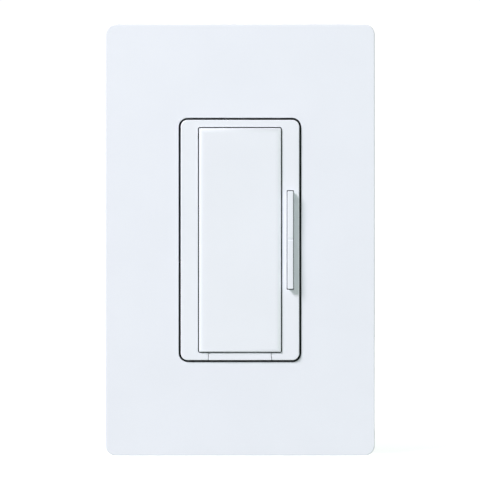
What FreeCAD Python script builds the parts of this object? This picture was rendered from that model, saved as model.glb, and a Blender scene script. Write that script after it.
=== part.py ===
"""Wall-box dimmer: tap paddle, narrow dimming rocker, pull-out service switch and screwless plate.

Millimetres. +X is right, +Y goes into the wall and +Z is up, as the dimmer hangs on a wall.
The origin is midway between the two box screws, on the wall's surface (y = 0).
Each sub-part has its own function, and its solids go to parts/NODE.step.
"""

import FreeCAD, Part
import os

V = FreeCAD.Vector

# How far a rib, post or shank is sunk into the solid that it is fused to
SUNK = 0.1

# ------------------------------------------------------------------------------------------
# Driving sizes
# ------------------------------------------------------------------------------------------

# Screwless wall plate and the opening that the dimmer's face shows through
PLATE_W = 74.6
PLATE_H = 119.4
PLATE_D = 7.6
PLATE_CORNER_R = 2.9
PLATE_EDGE_R = 0.35
PLATE_FRONT_T = 1.8
PLATE_SIDE_T = 1.7
OPENING_W = 33.85
OPENING_H = 67.5
OPENING_R = 2.45
OPENING_EDGE_R = 0.25
COLLAR_T = 1.2
PRY_SLOT_W = 7.0
PRY_SLOT_D = 1.4

# Plate adapter: the frame that the wall plate snaps onto
ADAPTER_T = 1.8
ADAPTER_RIM_T = 1.2
ADAPTER_RIM_FRONT = 1.2
ADAPTER_RIM_BACK = 1.2
ADAPTER_GAP = 1.0
ADAPTER_R = 1.5
ADAPTER_WINDOW_GAP = 1.2
KEYHOLE_L = 12.0
KEYHOLE_W = 6.0
SNAP_L = 12.0
SNAP_BITE = 0.3
SNAP_T = 0.9
SNAP_PLAY = 0.15

# Standard screw places of a wall box and of its plates
BOX_SCREW_SPACING = 83.34
PLATE_SCREW_SPACING = 96.82

# Bezel
BEZEL_GAP = 0.55
BEZEL_PROUD = 0.9
BEZEL_FACE_T = 2.0
BEZEL_WALL_T = 1.0
BEZEL_SIDE = 4.76
BEZEL_BAR = 2.0
BEZEL_EDGE_R = 0.25
HOOK_W = 5.0
HOOK_Z = 18.0
HOOK_BITE = 0.6
HOOK_L = 1.1
HOOK_GAP = 0.02
HOOK_PLAY = 0.3
HOOK_SEAT_GAP = 0.1

# Tap paddle
PADDLE_GAP = 0.3
PADDLE_PROUD = 0.9
PADDLE_T = 1.6
PADDLE_SKIRT_T = 1.2
PADDLE_SKIRT_L = 3.1
PADDLE_EDGE_R = 0.45
PADDLE_CORNER_R = 0.3
PADDLE_RIB_X = 4.2
PADDLE_RIB_T = 0.8
PADDLE_RIB_D = 1.6
PADDLE_RIB_L = 44.0
PADDLE_HINGE_R = 0.8
PADDLE_HINGE_FROM_TOP = 2.0
PADDLE_TILT_DEG = 0.8
TAP_SWITCH_FROM_HINGE = 25.0
POST_W = 3.6

# Dimming rocker
ROCKER_W = 1.6
ROCKER_H = 27.0
ROCKER_PROUD = 2.0
ROCKER_FROM_BEZEL_EDGE = 2.47
ROCKER_SIDE_GAP = 0.18
ROCKER_END_GAP = 0.25
ROCKER_WEB_W = 1.2
ROCKER_DIP = 0.25
ROCKER_LIP = 1.6
ROCKER_LIP_ROOM = 0.6
ROCKER_LIP_T = 1.0
ROCKER_BLADE_SHORT = 0.4
ROCKER_WEB_BEHIND = 1.0
ROCKER_HINGE_R = 0.6
ROCKER_FOOT_Z = 10.0
ROCKER_FOOT_H = 2.0

# Service tab: pulled out to open the air-gap switch
TAB_W = 17.1
TAB_GAP = 0.15
TAB_FLARE = 0.2
TAB_D = 2.9
TAB_TRAVEL = 3.0
ARM_W = 9.0
ARM_T = 1.3
ARM_DROP = 0.35
ARM_HEAD_LIP = 0.35
ARM_PLAY = 0.4
STOP_W = 20.0
STOP_H = 0.75
STOP_T = 1.2
STOP_GAP = 0.05

# Button carrier, which holds the two hinges
CARRIER_T = 1.4
CARRIER_GAP = 0.12
EAR_T = 1.2
EAR_H = 3.8
EAR_GAP = 0.2
ROCKER_EAR_T = 0.65
ROCKER_EAR_GAP = 0.12
HINGE_PLAY = 0.05
STUB_SHORT = 0.1
POST_PLAY = 0.6

# Yoke
YOKE_T = 1.6
YOKE_RIM_GAP = 0.4
YOKE_END_GAP = 2.8
WING_END = 9.0
YOKE_EAR_W = 26.0
YOKE_R = 3.0
SCORE_FROM_BODY = 1.0
SCORE_W = 0.9
SCORE_D = 0.7
BOX_SLOT_L = 6.0
BOX_SLOT_W = 4.2

# Back cover
BODY_SIDE_ROOM = 3.3
BODY_D = 30.5
BODY_WALL_T = 1.8
BODY_R = 2.5
BODY_EDGE_R = 1.2
LABEL_D = 0.3
LABEL_W = 26.0
LABEL_H = 40.0
BOSS_R = 3.4
BOSS_IN = 3.4
COUNTERBORE_D = 6.0
POCKET_H = 11.0
POCKET_WALL_T = 1.5
POCKET_D = 4.8
POCKET_Y = 10.2
TERMINAL_Z = 9.0
TERMINAL_Y = 16.0

# Boards
BOARD_T = 1.6
CONTROL_Y = 5.0
POWER_Y = 11.6
BOARD_EDGE_GAP = 0.6
SWITCH_SIDE = 6.0
SWITCH_BODY_D = 3.5
PLUNGER_R = 1.6
PLUNGER_L = 0.8
PLUNGER_PLAY = 0.1
PRESS_GAP = 0.05
SHEET_T = 0.25
SHEET_GAP = 0.02
CONTACT_GAP = 0.02

# Controller, filter choke and supply parts on the boards
CHIP_X = -9.0
CHIP_BELOW_TAP = 15.5
CHIP_W = 10.4
CHIP_H = 7.4
CHIP_T = 2.4
CHIP_LEADS = 8
CHIP_LEAD_L = 1.5
CHIP_LEAD_T = 0.3
HEADER_W = 16.0
HEADER_H = 2.5
CHOKE_X = -3.5
CHOKE_OUT_R = 8.2
CHOKE_IN_R = 4.4
CHOKE_T = 7.0
CHOKE_TOP_ROOM = 3.4
WIRE_T = 0.9
FILM_CAP_X = -4.0
FILM_CAP_Z = -3.2
FILM_CAP_W = 17.0
FILM_CAP_H = 7.5
FILM_CAP_D = 12.0
CAN_X = 9.5
CAN_R = 4.0
CAN_L = 11.5
VARISTOR_X = -8.8
VARISTOR_Z = -17.0
VARISTOR_R = 4.6
VARISTOR_T = 3.5
RESISTOR_X = 5.0
RESISTOR_Z = -18.0
RESISTOR_R = 1.7
RESISTOR_L = 9.0
RECTIFIER_X = 9.0
RECTIFIER_Z = -7.2
RECTIFIER_SIDE = 5.6
RECTIFIER_T = 3.0
PART_LEAD_R = 0.35

# Screws: 6-32 for box, plate, terminals and ground, 4-40 for the back cover
SCREW_R = 1.75
SCREW_NECK_R = 1.45
BOX_SCREW_L = 24.0
BOX_HEAD_R = 3.2
BOX_HEAD_H = 2.1
BOX_HEAD_EDGE_R = 0.9
SCREW_TIP_L = 0.8
SCREW_TIP_R = 1.1
RECESS_R = 1.8
RECESS_D = 1.0
BOX_HEAD_PLAY = 0.3
ADAPTER_SCREW_L = 7.5
ADAPTER_HEAD_R = 2.9
COVER_SCREW_R = 1.42
COVER_HEAD_R = 2.6
COVER_HEAD_H = 1.9
TERMINAL_HEAD_R = 3.9
TERMINAL_HEAD_H = 2.2
GROUND_HEAD_R = 3.4
GROUND_HEAD_H = 2.2
GROUND_WASHER_R = 4.0
GROUND_WASHER_T = 0.8
GROUND_SCREW_L = 8.0
THREAD_PLAY = 0.04
SCREW_PLAY = 0.15
RECESS_ARM_W = 0.9
RETAINER_T = 0.4
RETAINER_R = 0.8
RETAINER_W = 9.0
RETAINER_H = 6.4

# Triac and its place on the yoke
TRIAC_W = 10.1
TRIAC_BODY_H = 9.2
TRIAC_TAB_H = 6.6
TRIAC_T = 4.5
TRIAC_TAB_T = 1.3
TRIAC_RIM_T = 0.8
TRIAC_HEAD_R = 2.8
TRIAC_HEAD_H = 1.8
TRIAC_PAD_T = 0.3
TRIAC_PAD_OUT = 0.8
TRIAC_SCREW_R = 1.5

# ------------------------------------------------------------------------------------------
# Places worked out from those sizes
# ------------------------------------------------------------------------------------------

PLATE_FRONT = -PLATE_D
PLATE_INNER_W = PLATE_W - 2 * PLATE_SIDE_T
PLATE_INNER_H = PLATE_H - 2 * PLATE_SIDE_T
YOKE_FRONT = -YOKE_T
ADAPTER_FRONT = YOKE_FRONT - ADAPTER_T
ADAPTER_W = PLATE_INNER_W - 2 * ADAPTER_GAP
ADAPTER_H = PLATE_INNER_H - 2 * ADAPTER_GAP
KEYHOLE_X = ADAPTER_W / 4 + ADAPTER_HEAD_R + 1.0
YOKE_W = ADAPTER_W - 2 * (ADAPTER_RIM_T + YOKE_RIM_GAP)
YOKE_H = ADAPTER_H - 2 * (ADAPTER_RIM_T + YOKE_END_GAP)

BEZEL_W = OPENING_W - 2 * BEZEL_GAP
BEZEL_H = OPENING_H - 2 * BEZEL_GAP
BEZEL_R = OPENING_R - BEZEL_GAP
BEZEL_FRONT = PLATE_FRONT - BEZEL_PROUD
BEZEL_INNER_W = BEZEL_W - 2 * BEZEL_WALL_T
BEZEL_INNER_H = BEZEL_H - 2 * BEZEL_WALL_T
BEZEL_FACE_BACK = BEZEL_FRONT + BEZEL_FACE_T

WINDOW_W = BEZEL_W - 2 * BEZEL_SIDE
WINDOW_H = BEZEL_H - 2 * BEZEL_BAR
PADDLE_W = WINDOW_W - 2 * PADDLE_GAP
PADDLE_H = WINDOW_H - 2 * PADDLE_GAP
PADDLE_FRONT = BEZEL_FRONT - PADDLE_PROUD
PADDLE_BACK = PADDLE_FRONT + PADDLE_T + PADDLE_SKIRT_L
CARRIER_FRONT = YOKE_FRONT - CARRIER_T
HINGE_Y = (BEZEL_FACE_BACK + CARRIER_FRONT) / 2 - 0.25
HINGE_Z = PADDLE_H / 2 - PADDLE_HINGE_FROM_TOP
TAP_Z = HINGE_Z - TAP_SWITCH_FROM_HINGE
PADDLE_EAR_X = WINDOW_W / 2 + 0.3

ROCKER_X = BEZEL_W / 2 - ROCKER_FROM_BEZEL_EDGE
ROCKER_FRONT = BEZEL_FRONT - ROCKER_PROUD
ROCKER_EAR_X = ROCKER_WEB_W / 2 + ROCKER_EAR_GAP
ROCKER_STUB = ROCKER_EAR_X + ROCKER_EAR_T - STUB_SHORT
SLOT_W = ROCKER_W + 2 * ROCKER_SIDE_GAP
SLOT_H = ROCKER_H + 2 * ROCKER_END_GAP

TAB_TOP = -WINDOW_H / 2
TAB_BOTTOM = -BEZEL_H / 2
TAB_BACK = BEZEL_FRONT + TAB_D
ARM_LOW_BOTTOM = TAB_BOTTOM + ARM_DROP
BODY_W = 2 * (ROCKER_X + SWITCH_SIDE / 2 + BODY_WALL_T + BODY_SIDE_ROOM)
BODY_H = BEZEL_H
BODY_FLOOR_Z = -BODY_H / 2 + BODY_WALL_T
ARM_BOTTOM = BODY_FLOOR_Z + ARM_HEAD_LIP + ARM_PLAY
ARM_TOP = ARM_BOTTOM + ARM_T
STEP_FRONT = BEZEL_FACE_BACK + TAB_TRAVEL + STOP_GAP
STEP_BACK = STEP_FRONT + STOP_T
STOP_TOP = TAB_TOP - 0.1
STOP_BOTTOM = STOP_TOP - STOP_H

SWITCH_FRONT = CONTROL_Y - SWITCH_BODY_D
PLUNGER_FRONT = SWITCH_FRONT - PLUNGER_L
POST_BACK = PLUNGER_FRONT - PRESS_GAP
CONTROL_BACK = CONTROL_Y + BOARD_T
POWER_BACK = POWER_Y + BOARD_T
BOSS_X = BODY_W / 2 - BOSS_IN
BOSS_Z = BODY_H / 2 - BOSS_IN
COVER_SEAT = BODY_D - COUNTERBORE_D
POCKET_FLOOR = BODY_W / 2 - POCKET_D
POCKET_INSIDE = POCKET_FLOOR - POCKET_WALL_T

BLADE_T = 0.4
CONTACT_R = 1.0
CONTACT_H = 0.3
CONTACT_X = 3.0
CONTACT_PAD_T = 0.4
CONTACT_PAD_UP = 3.0
CONTACT_PAD_W = 3.2
FIXED_TIP_FRONT = POWER_Y - CONTACT_PAD_T - CONTACT_H
MOVING_TIP_BACK = FIXED_TIP_FRONT - CONTACT_GAP
BLADE_FRONT = MOVING_TIP_BACK - CONTACT_H - BLADE_T
CONTACT_Z = (ARM_BOTTOM + ARM_TOP) / 2

TERMINALS = {"line": (1, TERMINAL_Z), "load": (1, -TERMINAL_Z), "remote": (-1, -TERMINAL_Z)}
TERMINAL_PLATE_T = 1.0
TERMINAL_PLATE_W = 9.2
TAIL_W = 3.0
TAIL_T = 0.6
TAIL_PLAY = 0.1
TAIL_IN = 3.2
CLAMP_T = 1.0
CLAMP_W = 8.6
WIRE_ROOM = 0.4
GROUND_Z = -(BODY_H / 2 + 4.4)
GROUND_X = -15.0
GROUND_EAR_W = 7.0
GROUND_EAR_D = 9.0
GROUND_HOLE_Y = 4.8

TRIAC_TOP = BODY_H / 2 - BODY_WALL_T - BOARD_EDGE_GAP / 2
TRIAC_SEAT = TRIAC_PAD_T
TRIAC_BODY_TOP = TRIAC_TOP - TRIAC_TAB_H
TRIAC_BODY_BOTTOM = TRIAC_BODY_TOP - TRIAC_BODY_H
TRIAC_SCREW_Z = TRIAC_TOP - TRIAC_TAB_H / 2
LEAD_W = 0.8
LEAD_T = 0.5
LEAD_PITCH = 2.54
LEAD_ROOM = 0.6
LEAD_END = 0.2
LEAD_HOLE_R = 0.6
LEAD_Z = TRIAC_BODY_BOTTOM - 1.4
LEAD_Y = TRIAC_SEAT + 2.3

CHOKE_FRONT = POWER_BACK + 0.5
CHOKE_Z = BODY_H / 2 - BODY_WALL_T - CHOKE_TOP_ROOM - CHOKE_OUT_R - WIRE_T
CAN_Z = BODY_H / 2 - BODY_WALL_T - CHOKE_TOP_ROOM - CAN_R


# ------------------------------------------------------------------------------------------
# Shape helpers
# ------------------------------------------------------------------------------------------


def block(x0, x1, y0, y1, z0, z1):
    """Box between two corners."""
    return Part.makeBox(x1 - x0, y1 - y0, z1 - z0, V(x0, y0, z0))


def rod(radius, start, end):
    """Round bar from one point to another."""
    a, b = V(*start), V(*end)
    return Part.makeCylinder(radius, (b - a).Length, a, b - a)


def cone(radius_a, radius_b, start, end):
    """Tapered round bar from one point to another."""
    a, b = V(*start), V(*end)
    return Part.makeCone(radius_a, radius_b, (b - a).Length, a, b - a)


def edges_along_y(shape):
    """Straight edges that run front to back."""
    found = []
    for edge in shape.Edges:
        box = edge.BoundBox
        if box.XLength < 1e-6 and box.ZLength < 1e-6:
            found.append(edge)
    return found


def edges_at_y(shape, y, inside=None, outside=None):
    """Edges that lie at one depth; inside and outside limit them by a half width and half height."""
    found = []
    for edge in shape.Edges:
        box = edge.BoundBox
        if abs(box.YMin - y) > 1e-6 or abs(box.YMax - y) > 1e-6:
            continue
        far_x = max(abs(box.XMin), abs(box.XMax))
        far_z = max(abs(box.ZMin), abs(box.ZMax))
        if inside and (far_x > inside[0] or far_z > inside[1]):
            continue
        if outside and far_x < outside[0] and far_z < outside[1]:
            continue
        found.append(edge)
    return found


def round_plate(width, height, radius, y0, y1, x=0, z=0):
    """Plate with rounded corners, centred on (x, z) and standing between two depths."""
    plate = block(x - width / 2, x + width / 2, y0, y1, z - height / 2, z + height / 2)
    if radius <= 0:
        return plate
    return plate.makeFillet(radius, edges_along_y(plate))


def slotted_hole(length, width, y0, y1, x, z):
    """Cutter for a slot with round ends, its length along X."""
    half = (length - width) / 2
    bar = block(x - half, x + half, y0, y1, z - width / 2, z + width / 2)
    ends = [rod(width / 2, (x + side * half, y0, z), (x + side * half, y1, z)) for side in (-1, 1)]
    return bar.fuse(ends)


def prism(points, direction):
    """Solid swept from a closed flat outline."""
    outline = Part.makePolygon([V(*p) for p in points] + [V(*points[0])])
    return Part.Face(outline).extrude(V(*direction))


def mirror_x(shape):
    """Copy of a shape on the other side of x = 0."""
    return shape.mirror(V(0, 0, 0), V(1, 0, 0))


def driver_cross(y, depth, size, x, z):
    """Cutter for a cross recess in a screw head, from its face at y towards +Y."""
    half = RECESS_ARM_W / 2
    wide = block(x - size, x + size, y - 0.1, y + depth, z - half, z + half)
    tall = block(x - half, x + half, y - 0.1, y + depth, z - size, z + size)
    return wide.fuse(tall)


# ------------------------------------------------------------------------------------------
# Wall plate and its adapter
# ------------------------------------------------------------------------------------------


def snap_places():
    """(x or z side, sign, centre) of the snaps: two on each long side and one on each end."""
    long_z = PLATE_H / 4
    places = [("x", side, z) for side in (-1, 1) for z in (-long_z, long_z)]
    return places + [("z", side, 0) for side in (-1, 1)]


def snap_bar(axis, side, centre, inner, outer, y0, y1):
    """Bar along the plate's edge, from inner to outer distance from the middle."""
    low, high = sorted((side * inner, side * outer))
    if axis == "x":
        return block(low, high, y0, y1, centre - SNAP_L / 2, centre + SNAP_L / 2)
    return block(centre - SNAP_L / 2, centre + SNAP_L / 2, y0, y1, low, high)


def wall_plate():
    """Shell that covers the box: rounded front, hollow back, collar round the opening, catches."""
    shell = round_plate(PLATE_W, PLATE_H, PLATE_CORNER_R, PLATE_FRONT, 0)
    shell = shell.makeFillet(PLATE_EDGE_R, edges_at_y(shell, PLATE_FRONT))
    inner_r = PLATE_CORNER_R - PLATE_SIDE_T
    shell = shell.cut(round_plate(PLATE_INNER_W, PLATE_INNER_H, inner_r, PLATE_FRONT + PLATE_FRONT_T, 1))
    collar_r = OPENING_R + COLLAR_T
    collar_back = ADAPTER_FRONT - 0.2
    shell = shell.fuse(
        round_plate(
            OPENING_W + 2 * COLLAR_T,
            OPENING_H + 2 * COLLAR_T,
            collar_r,
            PLATE_FRONT + PLATE_FRONT_T - 0.2,
            collar_back,
        )
    )
    shell = shell.cut(round_plate(OPENING_W, OPENING_H, OPENING_R, PLATE_FRONT - 1, 1)).removeSplitter()
    rim = edges_at_y(shell, PLATE_FRONT, inside=(OPENING_W / 2 + 0.01, OPENING_H / 2 + 0.01))
    shell = shell.makeFillet(OPENING_EDGE_R, rim)
    reach = ADAPTER_GAP + SNAP_BITE - SNAP_T
    catch_y = YOKE_FRONT + ADAPTER_RIM_BACK - SNAP_T
    for axis, side, centre in snap_places():
        half = (PLATE_INNER_W if axis == "x" else PLATE_INNER_H) / 2
        catch = snap_bar(axis, side, centre, half - reach, half + SUNK, catch_y, catch_y + SNAP_T)
        shell = shell.fuse(catch)
    pry_half = PRY_SLOT_W / 2
    pry = block(-pry_half, pry_half, -PRY_SLOT_D, 1, -PLATE_H / 2 - 1, -PLATE_INNER_H / 2 + 0.5)
    return shell.cut(pry).removeSplitter()


def plate_adapter():
    """Frame screwed to the yoke, with a rim whose ribs hook behind the wall plate's catches."""
    frame = round_plate(ADAPTER_W, ADAPTER_H, ADAPTER_R, ADAPTER_FRONT, YOKE_FRONT)
    rim_y = (ADAPTER_FRONT - ADAPTER_RIM_FRONT, YOKE_FRONT + ADAPTER_RIM_BACK)
    rim = round_plate(ADAPTER_W, ADAPTER_H, ADAPTER_R, *rim_y)
    rim_inner = (ADAPTER_W - 2 * ADAPTER_RIM_T, ADAPTER_H - 2 * ADAPTER_RIM_T)
    rim = rim.cut(round_plate(*rim_inner, ADAPTER_R / 3, rim_y[0] - 1, rim_y[1] + 1))
    window = (BEZEL_W + 2 * ADAPTER_WINDOW_GAP, BEZEL_H + 2 * ADAPTER_WINDOW_GAP)
    window_r = BEZEL_R + ADAPTER_WINDOW_GAP
    frame = frame.fuse(rim).cut(round_plate(*window, window_r, rim_y[0] - 1, 1))
    rib_y = YOKE_FRONT + ADAPTER_RIM_BACK - 2 * SNAP_T - SNAP_PLAY
    for axis, side, centre in snap_places():
        outer_half = (ADAPTER_W if axis == "x" else ADAPTER_H) / 2
        rib_x = (outer_half - SUNK, outer_half + SNAP_T)
        rib = snap_bar(axis, side, centre, *rib_x, rib_y, rib_y + SNAP_T)
        frame = frame.fuse(rib)
    for side in (-1, 1):
        box_z = side * BOX_SCREW_SPACING / 2
        frame = frame.cut(rod(BOX_HEAD_R + BOX_HEAD_PLAY, (0, ADAPTER_FRONT - 1, box_z), (0, 1, box_z)))
        plate_z = side * PLATE_SCREW_SPACING / 2
        play = SCREW_R + SCREW_PLAY
        frame = frame.cut(rod(play, (0, ADAPTER_FRONT - 1, plate_z), (0, 1, plate_z)))
        head_y = ADAPTER_FRONT + ADAPTER_HEAD_R - SCREW_R
        wide = ADAPTER_HEAD_R + SCREW_PLAY
        seat = cone(wide, play, (0, ADAPTER_FRONT, plate_z), (0, head_y, plate_z))
        frame = frame.cut(seat)
        for x in (-KEYHOLE_X, KEYHOLE_X):
            frame = frame.cut(slotted_hole(KEYHOLE_L, KEYHOLE_W, ADAPTER_FRONT - 1, 1, x, plate_z))
    return frame.removeSplitter()


def adapter_screws():
    """Two countersunk screws that hold the adapter to the yoke."""
    screws = []
    for side in (-1, 1):
        z = side * PLATE_SCREW_SPACING / 2
        head_back = ADAPTER_FRONT + ADAPTER_HEAD_R - SCREW_R
        head = cone(ADAPTER_HEAD_R, SCREW_R, (0, ADAPTER_FRONT, z), (0, head_back, z))
        shank = rod(SCREW_R, (0, head_back, z), (0, ADAPTER_FRONT + ADAPTER_SCREW_L, z))
        recess = driver_cross(ADAPTER_FRONT, RECESS_D, RECESS_R, 0, z)
        screws.append(head.fuse(shank).cut(recess))
    return Part.makeCompound(screws)


# ------------------------------------------------------------------------------------------
# Face: bezel, tap paddle, dimming rocker and service tab
# ------------------------------------------------------------------------------------------


def tab_outline(gap, top, bottom):
    """Four corners (x, z) of the service tab's face, which widens a little towards its lower edge."""
    half = TAB_W / 2 + gap
    return [(-half, top), (half, top), (half + TAB_FLARE, bottom), (-half - TAB_FLARE, bottom)]


def bezel():
    """Face frame with windows for paddle, rocker and service tab, and four hooks that grip the yoke."""
    frame = round_plate(BEZEL_W, BEZEL_H, BEZEL_R, BEZEL_FRONT, YOKE_FRONT)
    frame = frame.makeFillet(BEZEL_EDGE_R, edges_at_y(frame, BEZEL_FRONT))
    cavity = (BEZEL_INNER_W, BEZEL_INNER_H, BEZEL_R - BEZEL_WALL_T)
    frame = frame.cut(round_plate(*cavity, BEZEL_FACE_BACK, YOKE_FRONT + 1))
    corner = PADDLE_CORNER_R + PADDLE_GAP
    frame = frame.cut(round_plate(WINDOW_W, WINDOW_H, corner, BEZEL_FRONT - 1, BEZEL_FACE_BACK + 1))
    frame = frame.cut(round_plate(SLOT_W, SLOT_H, 0.2, BEZEL_FRONT - 1, BEZEL_FACE_BACK + 1, ROCKER_X, 0))
    notch = [(x, BEZEL_FRONT - 1, z) for x, z in tab_outline(TAB_GAP, TAB_TOP + 0.5, TAB_BOTTOM - 0.5)]
    frame = frame.cut(prism(notch, (0, TAB_D + 1 + TAB_GAP, 0)))
    arm_half = ARM_W / 2 + ARM_PLAY
    arm_way = block(-arm_half, arm_half, TAB_BACK - 1, YOKE_FRONT + 1, TAB_BOTTOM - 1, TAB_TOP)
    frame = frame.cut(arm_way)
    for side in (-1, 1):
        inner, outer = BEZEL_INNER_W / 2, BEZEL_W / 2
        for z in (-HOOK_Z, HOOK_Z):
            leg = block(inner, outer, YOKE_FRONT - 0.5, HOOK_L, z - HOOK_W / 2, z + HOOK_W / 2)
            barb_points = [
                (outer, HOOK_GAP, z - HOOK_W / 2),
                (outer + HOOK_BITE, HOOK_GAP, z - HOOK_W / 2),
                (outer, HOOK_L, z - HOOK_W / 2),
            ]
            hook = leg.fuse(prism(barb_points, (0, 0, HOOK_W)))
            frame = frame.fuse(hook if side > 0 else mirror_x(hook))
    return frame.removeSplitter()


def tap_paddle():
    """Hollow paddle with a soft front edge, hinge stubs near its top and a post for its switch."""
    shell = round_plate(PADDLE_W, PADDLE_H, PADDLE_CORNER_R, PADDLE_FRONT, PADDLE_BACK)
    shell = shell.makeFillet(PADDLE_EDGE_R, edges_at_y(shell, PADDLE_FRONT))
    shell_back = PADDLE_FRONT + PADDLE_T
    inner = (PADDLE_W - 2 * PADDLE_SKIRT_T, PADDLE_H - 2 * PADDLE_SKIRT_T)
    shell = shell.cut(round_plate(*inner, PADDLE_CORNER_R, shell_back, PADDLE_BACK + 1))
    arm_half = ARM_W / 2 + 2 * ARM_PLAY
    arm_way = block(-arm_half, arm_half, shell_back, PADDLE_BACK + 1, -PADDLE_H, ARM_TOP + 2 * ARM_PLAY)
    shell = shell.cut(arm_way)
    stub_end = PADDLE_EAR_X + EAR_T - STUB_SHORT
    for side in (-1, 1):
        start = (side * (PADDLE_W / 2 - PADDLE_SKIRT_T), HINGE_Y, HINGE_Z)
        shell = shell.fuse(rod(PADDLE_HINGE_R, start, (side * stub_end, HINGE_Y, HINGE_Z)))
        low, high = sorted((side * PADDLE_W / 2, side * (PADDLE_W / 2 - PADDLE_SKIRT_T)))
        z0, z1 = HINGE_Z - 2 * PADDLE_HINGE_R, HINGE_Z + 2 * PADDLE_HINGE_R
        shell = shell.fuse(block(low, high, PADDLE_BACK - 1, HINGE_Y + 1.5 * PADDLE_HINGE_R, z0, z1))
        low, high = sorted((side * PADDLE_RIB_X, side * (PADDLE_RIB_X + PADDLE_RIB_T)))
        z0, z1 = TAP_Z - PADDLE_RIB_L / 2, TAP_Z + PADDLE_RIB_L / 2
        shell = shell.fuse(block(low, high, shell_back - SUNK, shell_back + PADDLE_RIB_D, z0, z1))
    half = POST_W / 2
    post = block(-half, half, shell_back - SUNK, POST_BACK, TAP_Z - half, TAP_Z + half)
    return shell.fuse(post).removeSplitter()


def dimming_rocker():
    """Tall narrow rocker: two faces that dip to the middle, ends under the bezel, feet on switches."""
    half = ROCKER_H / 2
    blade_back = BEZEL_FACE_BACK - ROCKER_BLADE_SHORT
    outline = [
        (ROCKER_FRONT, half),
        (ROCKER_FRONT + ROCKER_DIP, 0),
        (ROCKER_FRONT, -half),
        (blade_back, -half),
        (blade_back, half),
    ]
    rocker = prism([(ROCKER_X - ROCKER_W / 2, y, z) for y, z in outline], (ROCKER_W, 0, 0))
    web_x = (ROCKER_X - ROCKER_WEB_W / 2, ROCKER_X + ROCKER_WEB_W / 2)
    web_back = HINGE_Y + ROCKER_WEB_BEHIND
    web_half = half - ROCKER_BLADE_SHORT
    rocker = rocker.fuse(block(*web_x, blade_back - SUNK, web_back, -web_half, web_half))
    lip_front = BEZEL_FACE_BACK + ROCKER_LIP_ROOM
    lip_end = half + ROCKER_LIP
    lip_y = (lip_front, lip_front + ROCKER_LIP_T)
    rocker = rocker.fuse(block(*web_x, *lip_y, -lip_end, lip_end))
    for z in (-ROCKER_FOOT_Z, ROCKER_FOOT_Z):
        foot_z = (z - ROCKER_FOOT_H / 2, z + ROCKER_FOOT_H / 2)
        rocker = rocker.fuse(block(*web_x, web_back - SUNK, POST_BACK, *foot_z))
    pin_ends = ((ROCKER_X - ROCKER_STUB, HINGE_Y, 0), (ROCKER_X + ROCKER_STUB, HINGE_Y, 0))
    rocker = rocker.fuse(rod(ROCKER_HINGE_R, *pin_ends))
    return rocker.removeSplitter()


def service_tab():
    """Finger tab in the bezel's lower bar, with its arm, stops and a head for the air-gap blade."""
    face = [(x, BEZEL_FRONT, z) for x, z in tab_outline(0, TAB_TOP, TAB_BOTTOM)]
    tab = prism(face, (0, TAB_D, 0))
    half = ARM_W / 2
    low_top = ARM_LOW_BOTTOM + ARM_T
    tab = tab.fuse(block(-half, half, TAB_BACK - SUNK, STEP_BACK, ARM_LOW_BOTTOM, low_top))
    step_z = (min(ARM_LOW_BOTTOM, ARM_BOTTOM), max(low_top, ARM_TOP))
    tab = tab.fuse(block(-half, half, STEP_FRONT, STEP_BACK, *step_z))
    tab = tab.fuse(block(-STOP_W / 2, STOP_W / 2, STEP_FRONT, STEP_BACK, STOP_BOTTOM, STOP_TOP))
    tab = tab.fuse(block(-half, half, STEP_FRONT, BLADE_FRONT, ARM_BOTTOM, ARM_TOP))
    head_z = (ARM_BOTTOM - ARM_HEAD_LIP, ARM_TOP + ARM_HEAD_LIP)
    return tab.fuse(block(-half, half, BLADE_FRONT - ARM_T, BLADE_FRONT, *head_z)).removeSplitter()


def button_carrier():
    """Moulding inside the bezel: a floor on the yoke, two ears for the paddle and two for the rocker."""
    width, height = BEZEL_INNER_W - 2 * CARRIER_GAP, BEZEL_INNER_H - 2 * CARRIER_GAP
    carrier = round_plate(width, height, BEZEL_R - BEZEL_WALL_T, CARRIER_FRONT, YOKE_FRONT)
    ear_front = BEZEL_FACE_BACK + EAR_GAP
    for side in (-1, 1):
        low, high = sorted((side * PADDLE_EAR_X, side * (PADDLE_EAR_X + EAR_T)))
        ear = block(low, high, ear_front, YOKE_FRONT - SUNK, HINGE_Z - EAR_H / 2, HINGE_Z + EAR_H / 2)
        hole = rod(PADDLE_HINGE_R + HINGE_PLAY, (low - 1, HINGE_Y, HINGE_Z), (high + 1, HINGE_Y, HINGE_Z))
        carrier = carrier.fuse(ear.cut(hole))
        near, far = ROCKER_EAR_X, ROCKER_EAR_X + ROCKER_EAR_T
        low, high = sorted((ROCKER_X + side * near, ROCKER_X + side * far))
        ear = block(low, high, ear_front, YOKE_FRONT - SUNK, -EAR_H / 2, EAR_H / 2)
        hole = rod(ROCKER_HINGE_R + HINGE_PLAY, (low - 1, HINGE_Y, 0), (high + 1, HINGE_Y, 0))
        carrier = carrier.fuse(ear.cut(hole))
    y0, y1 = CARRIER_FRONT - 1, YOKE_FRONT + 1
    for cutter in post_ways(y0, y1):
        carrier = carrier.cut(cutter)
    half = ARM_W / 2 + ARM_PLAY
    carrier = carrier.cut(block(-half, half, y0, y1, TAB_BOTTOM, ARM_TOP + ARM_HEAD_LIP + ARM_PLAY))
    half = STOP_W / 2 + ARM_PLAY
    carrier = carrier.cut(block(-half, half, y0, y1, TAB_BOTTOM, STOP_TOP + ARM_PLAY))
    return carrier.removeSplitter()


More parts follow.
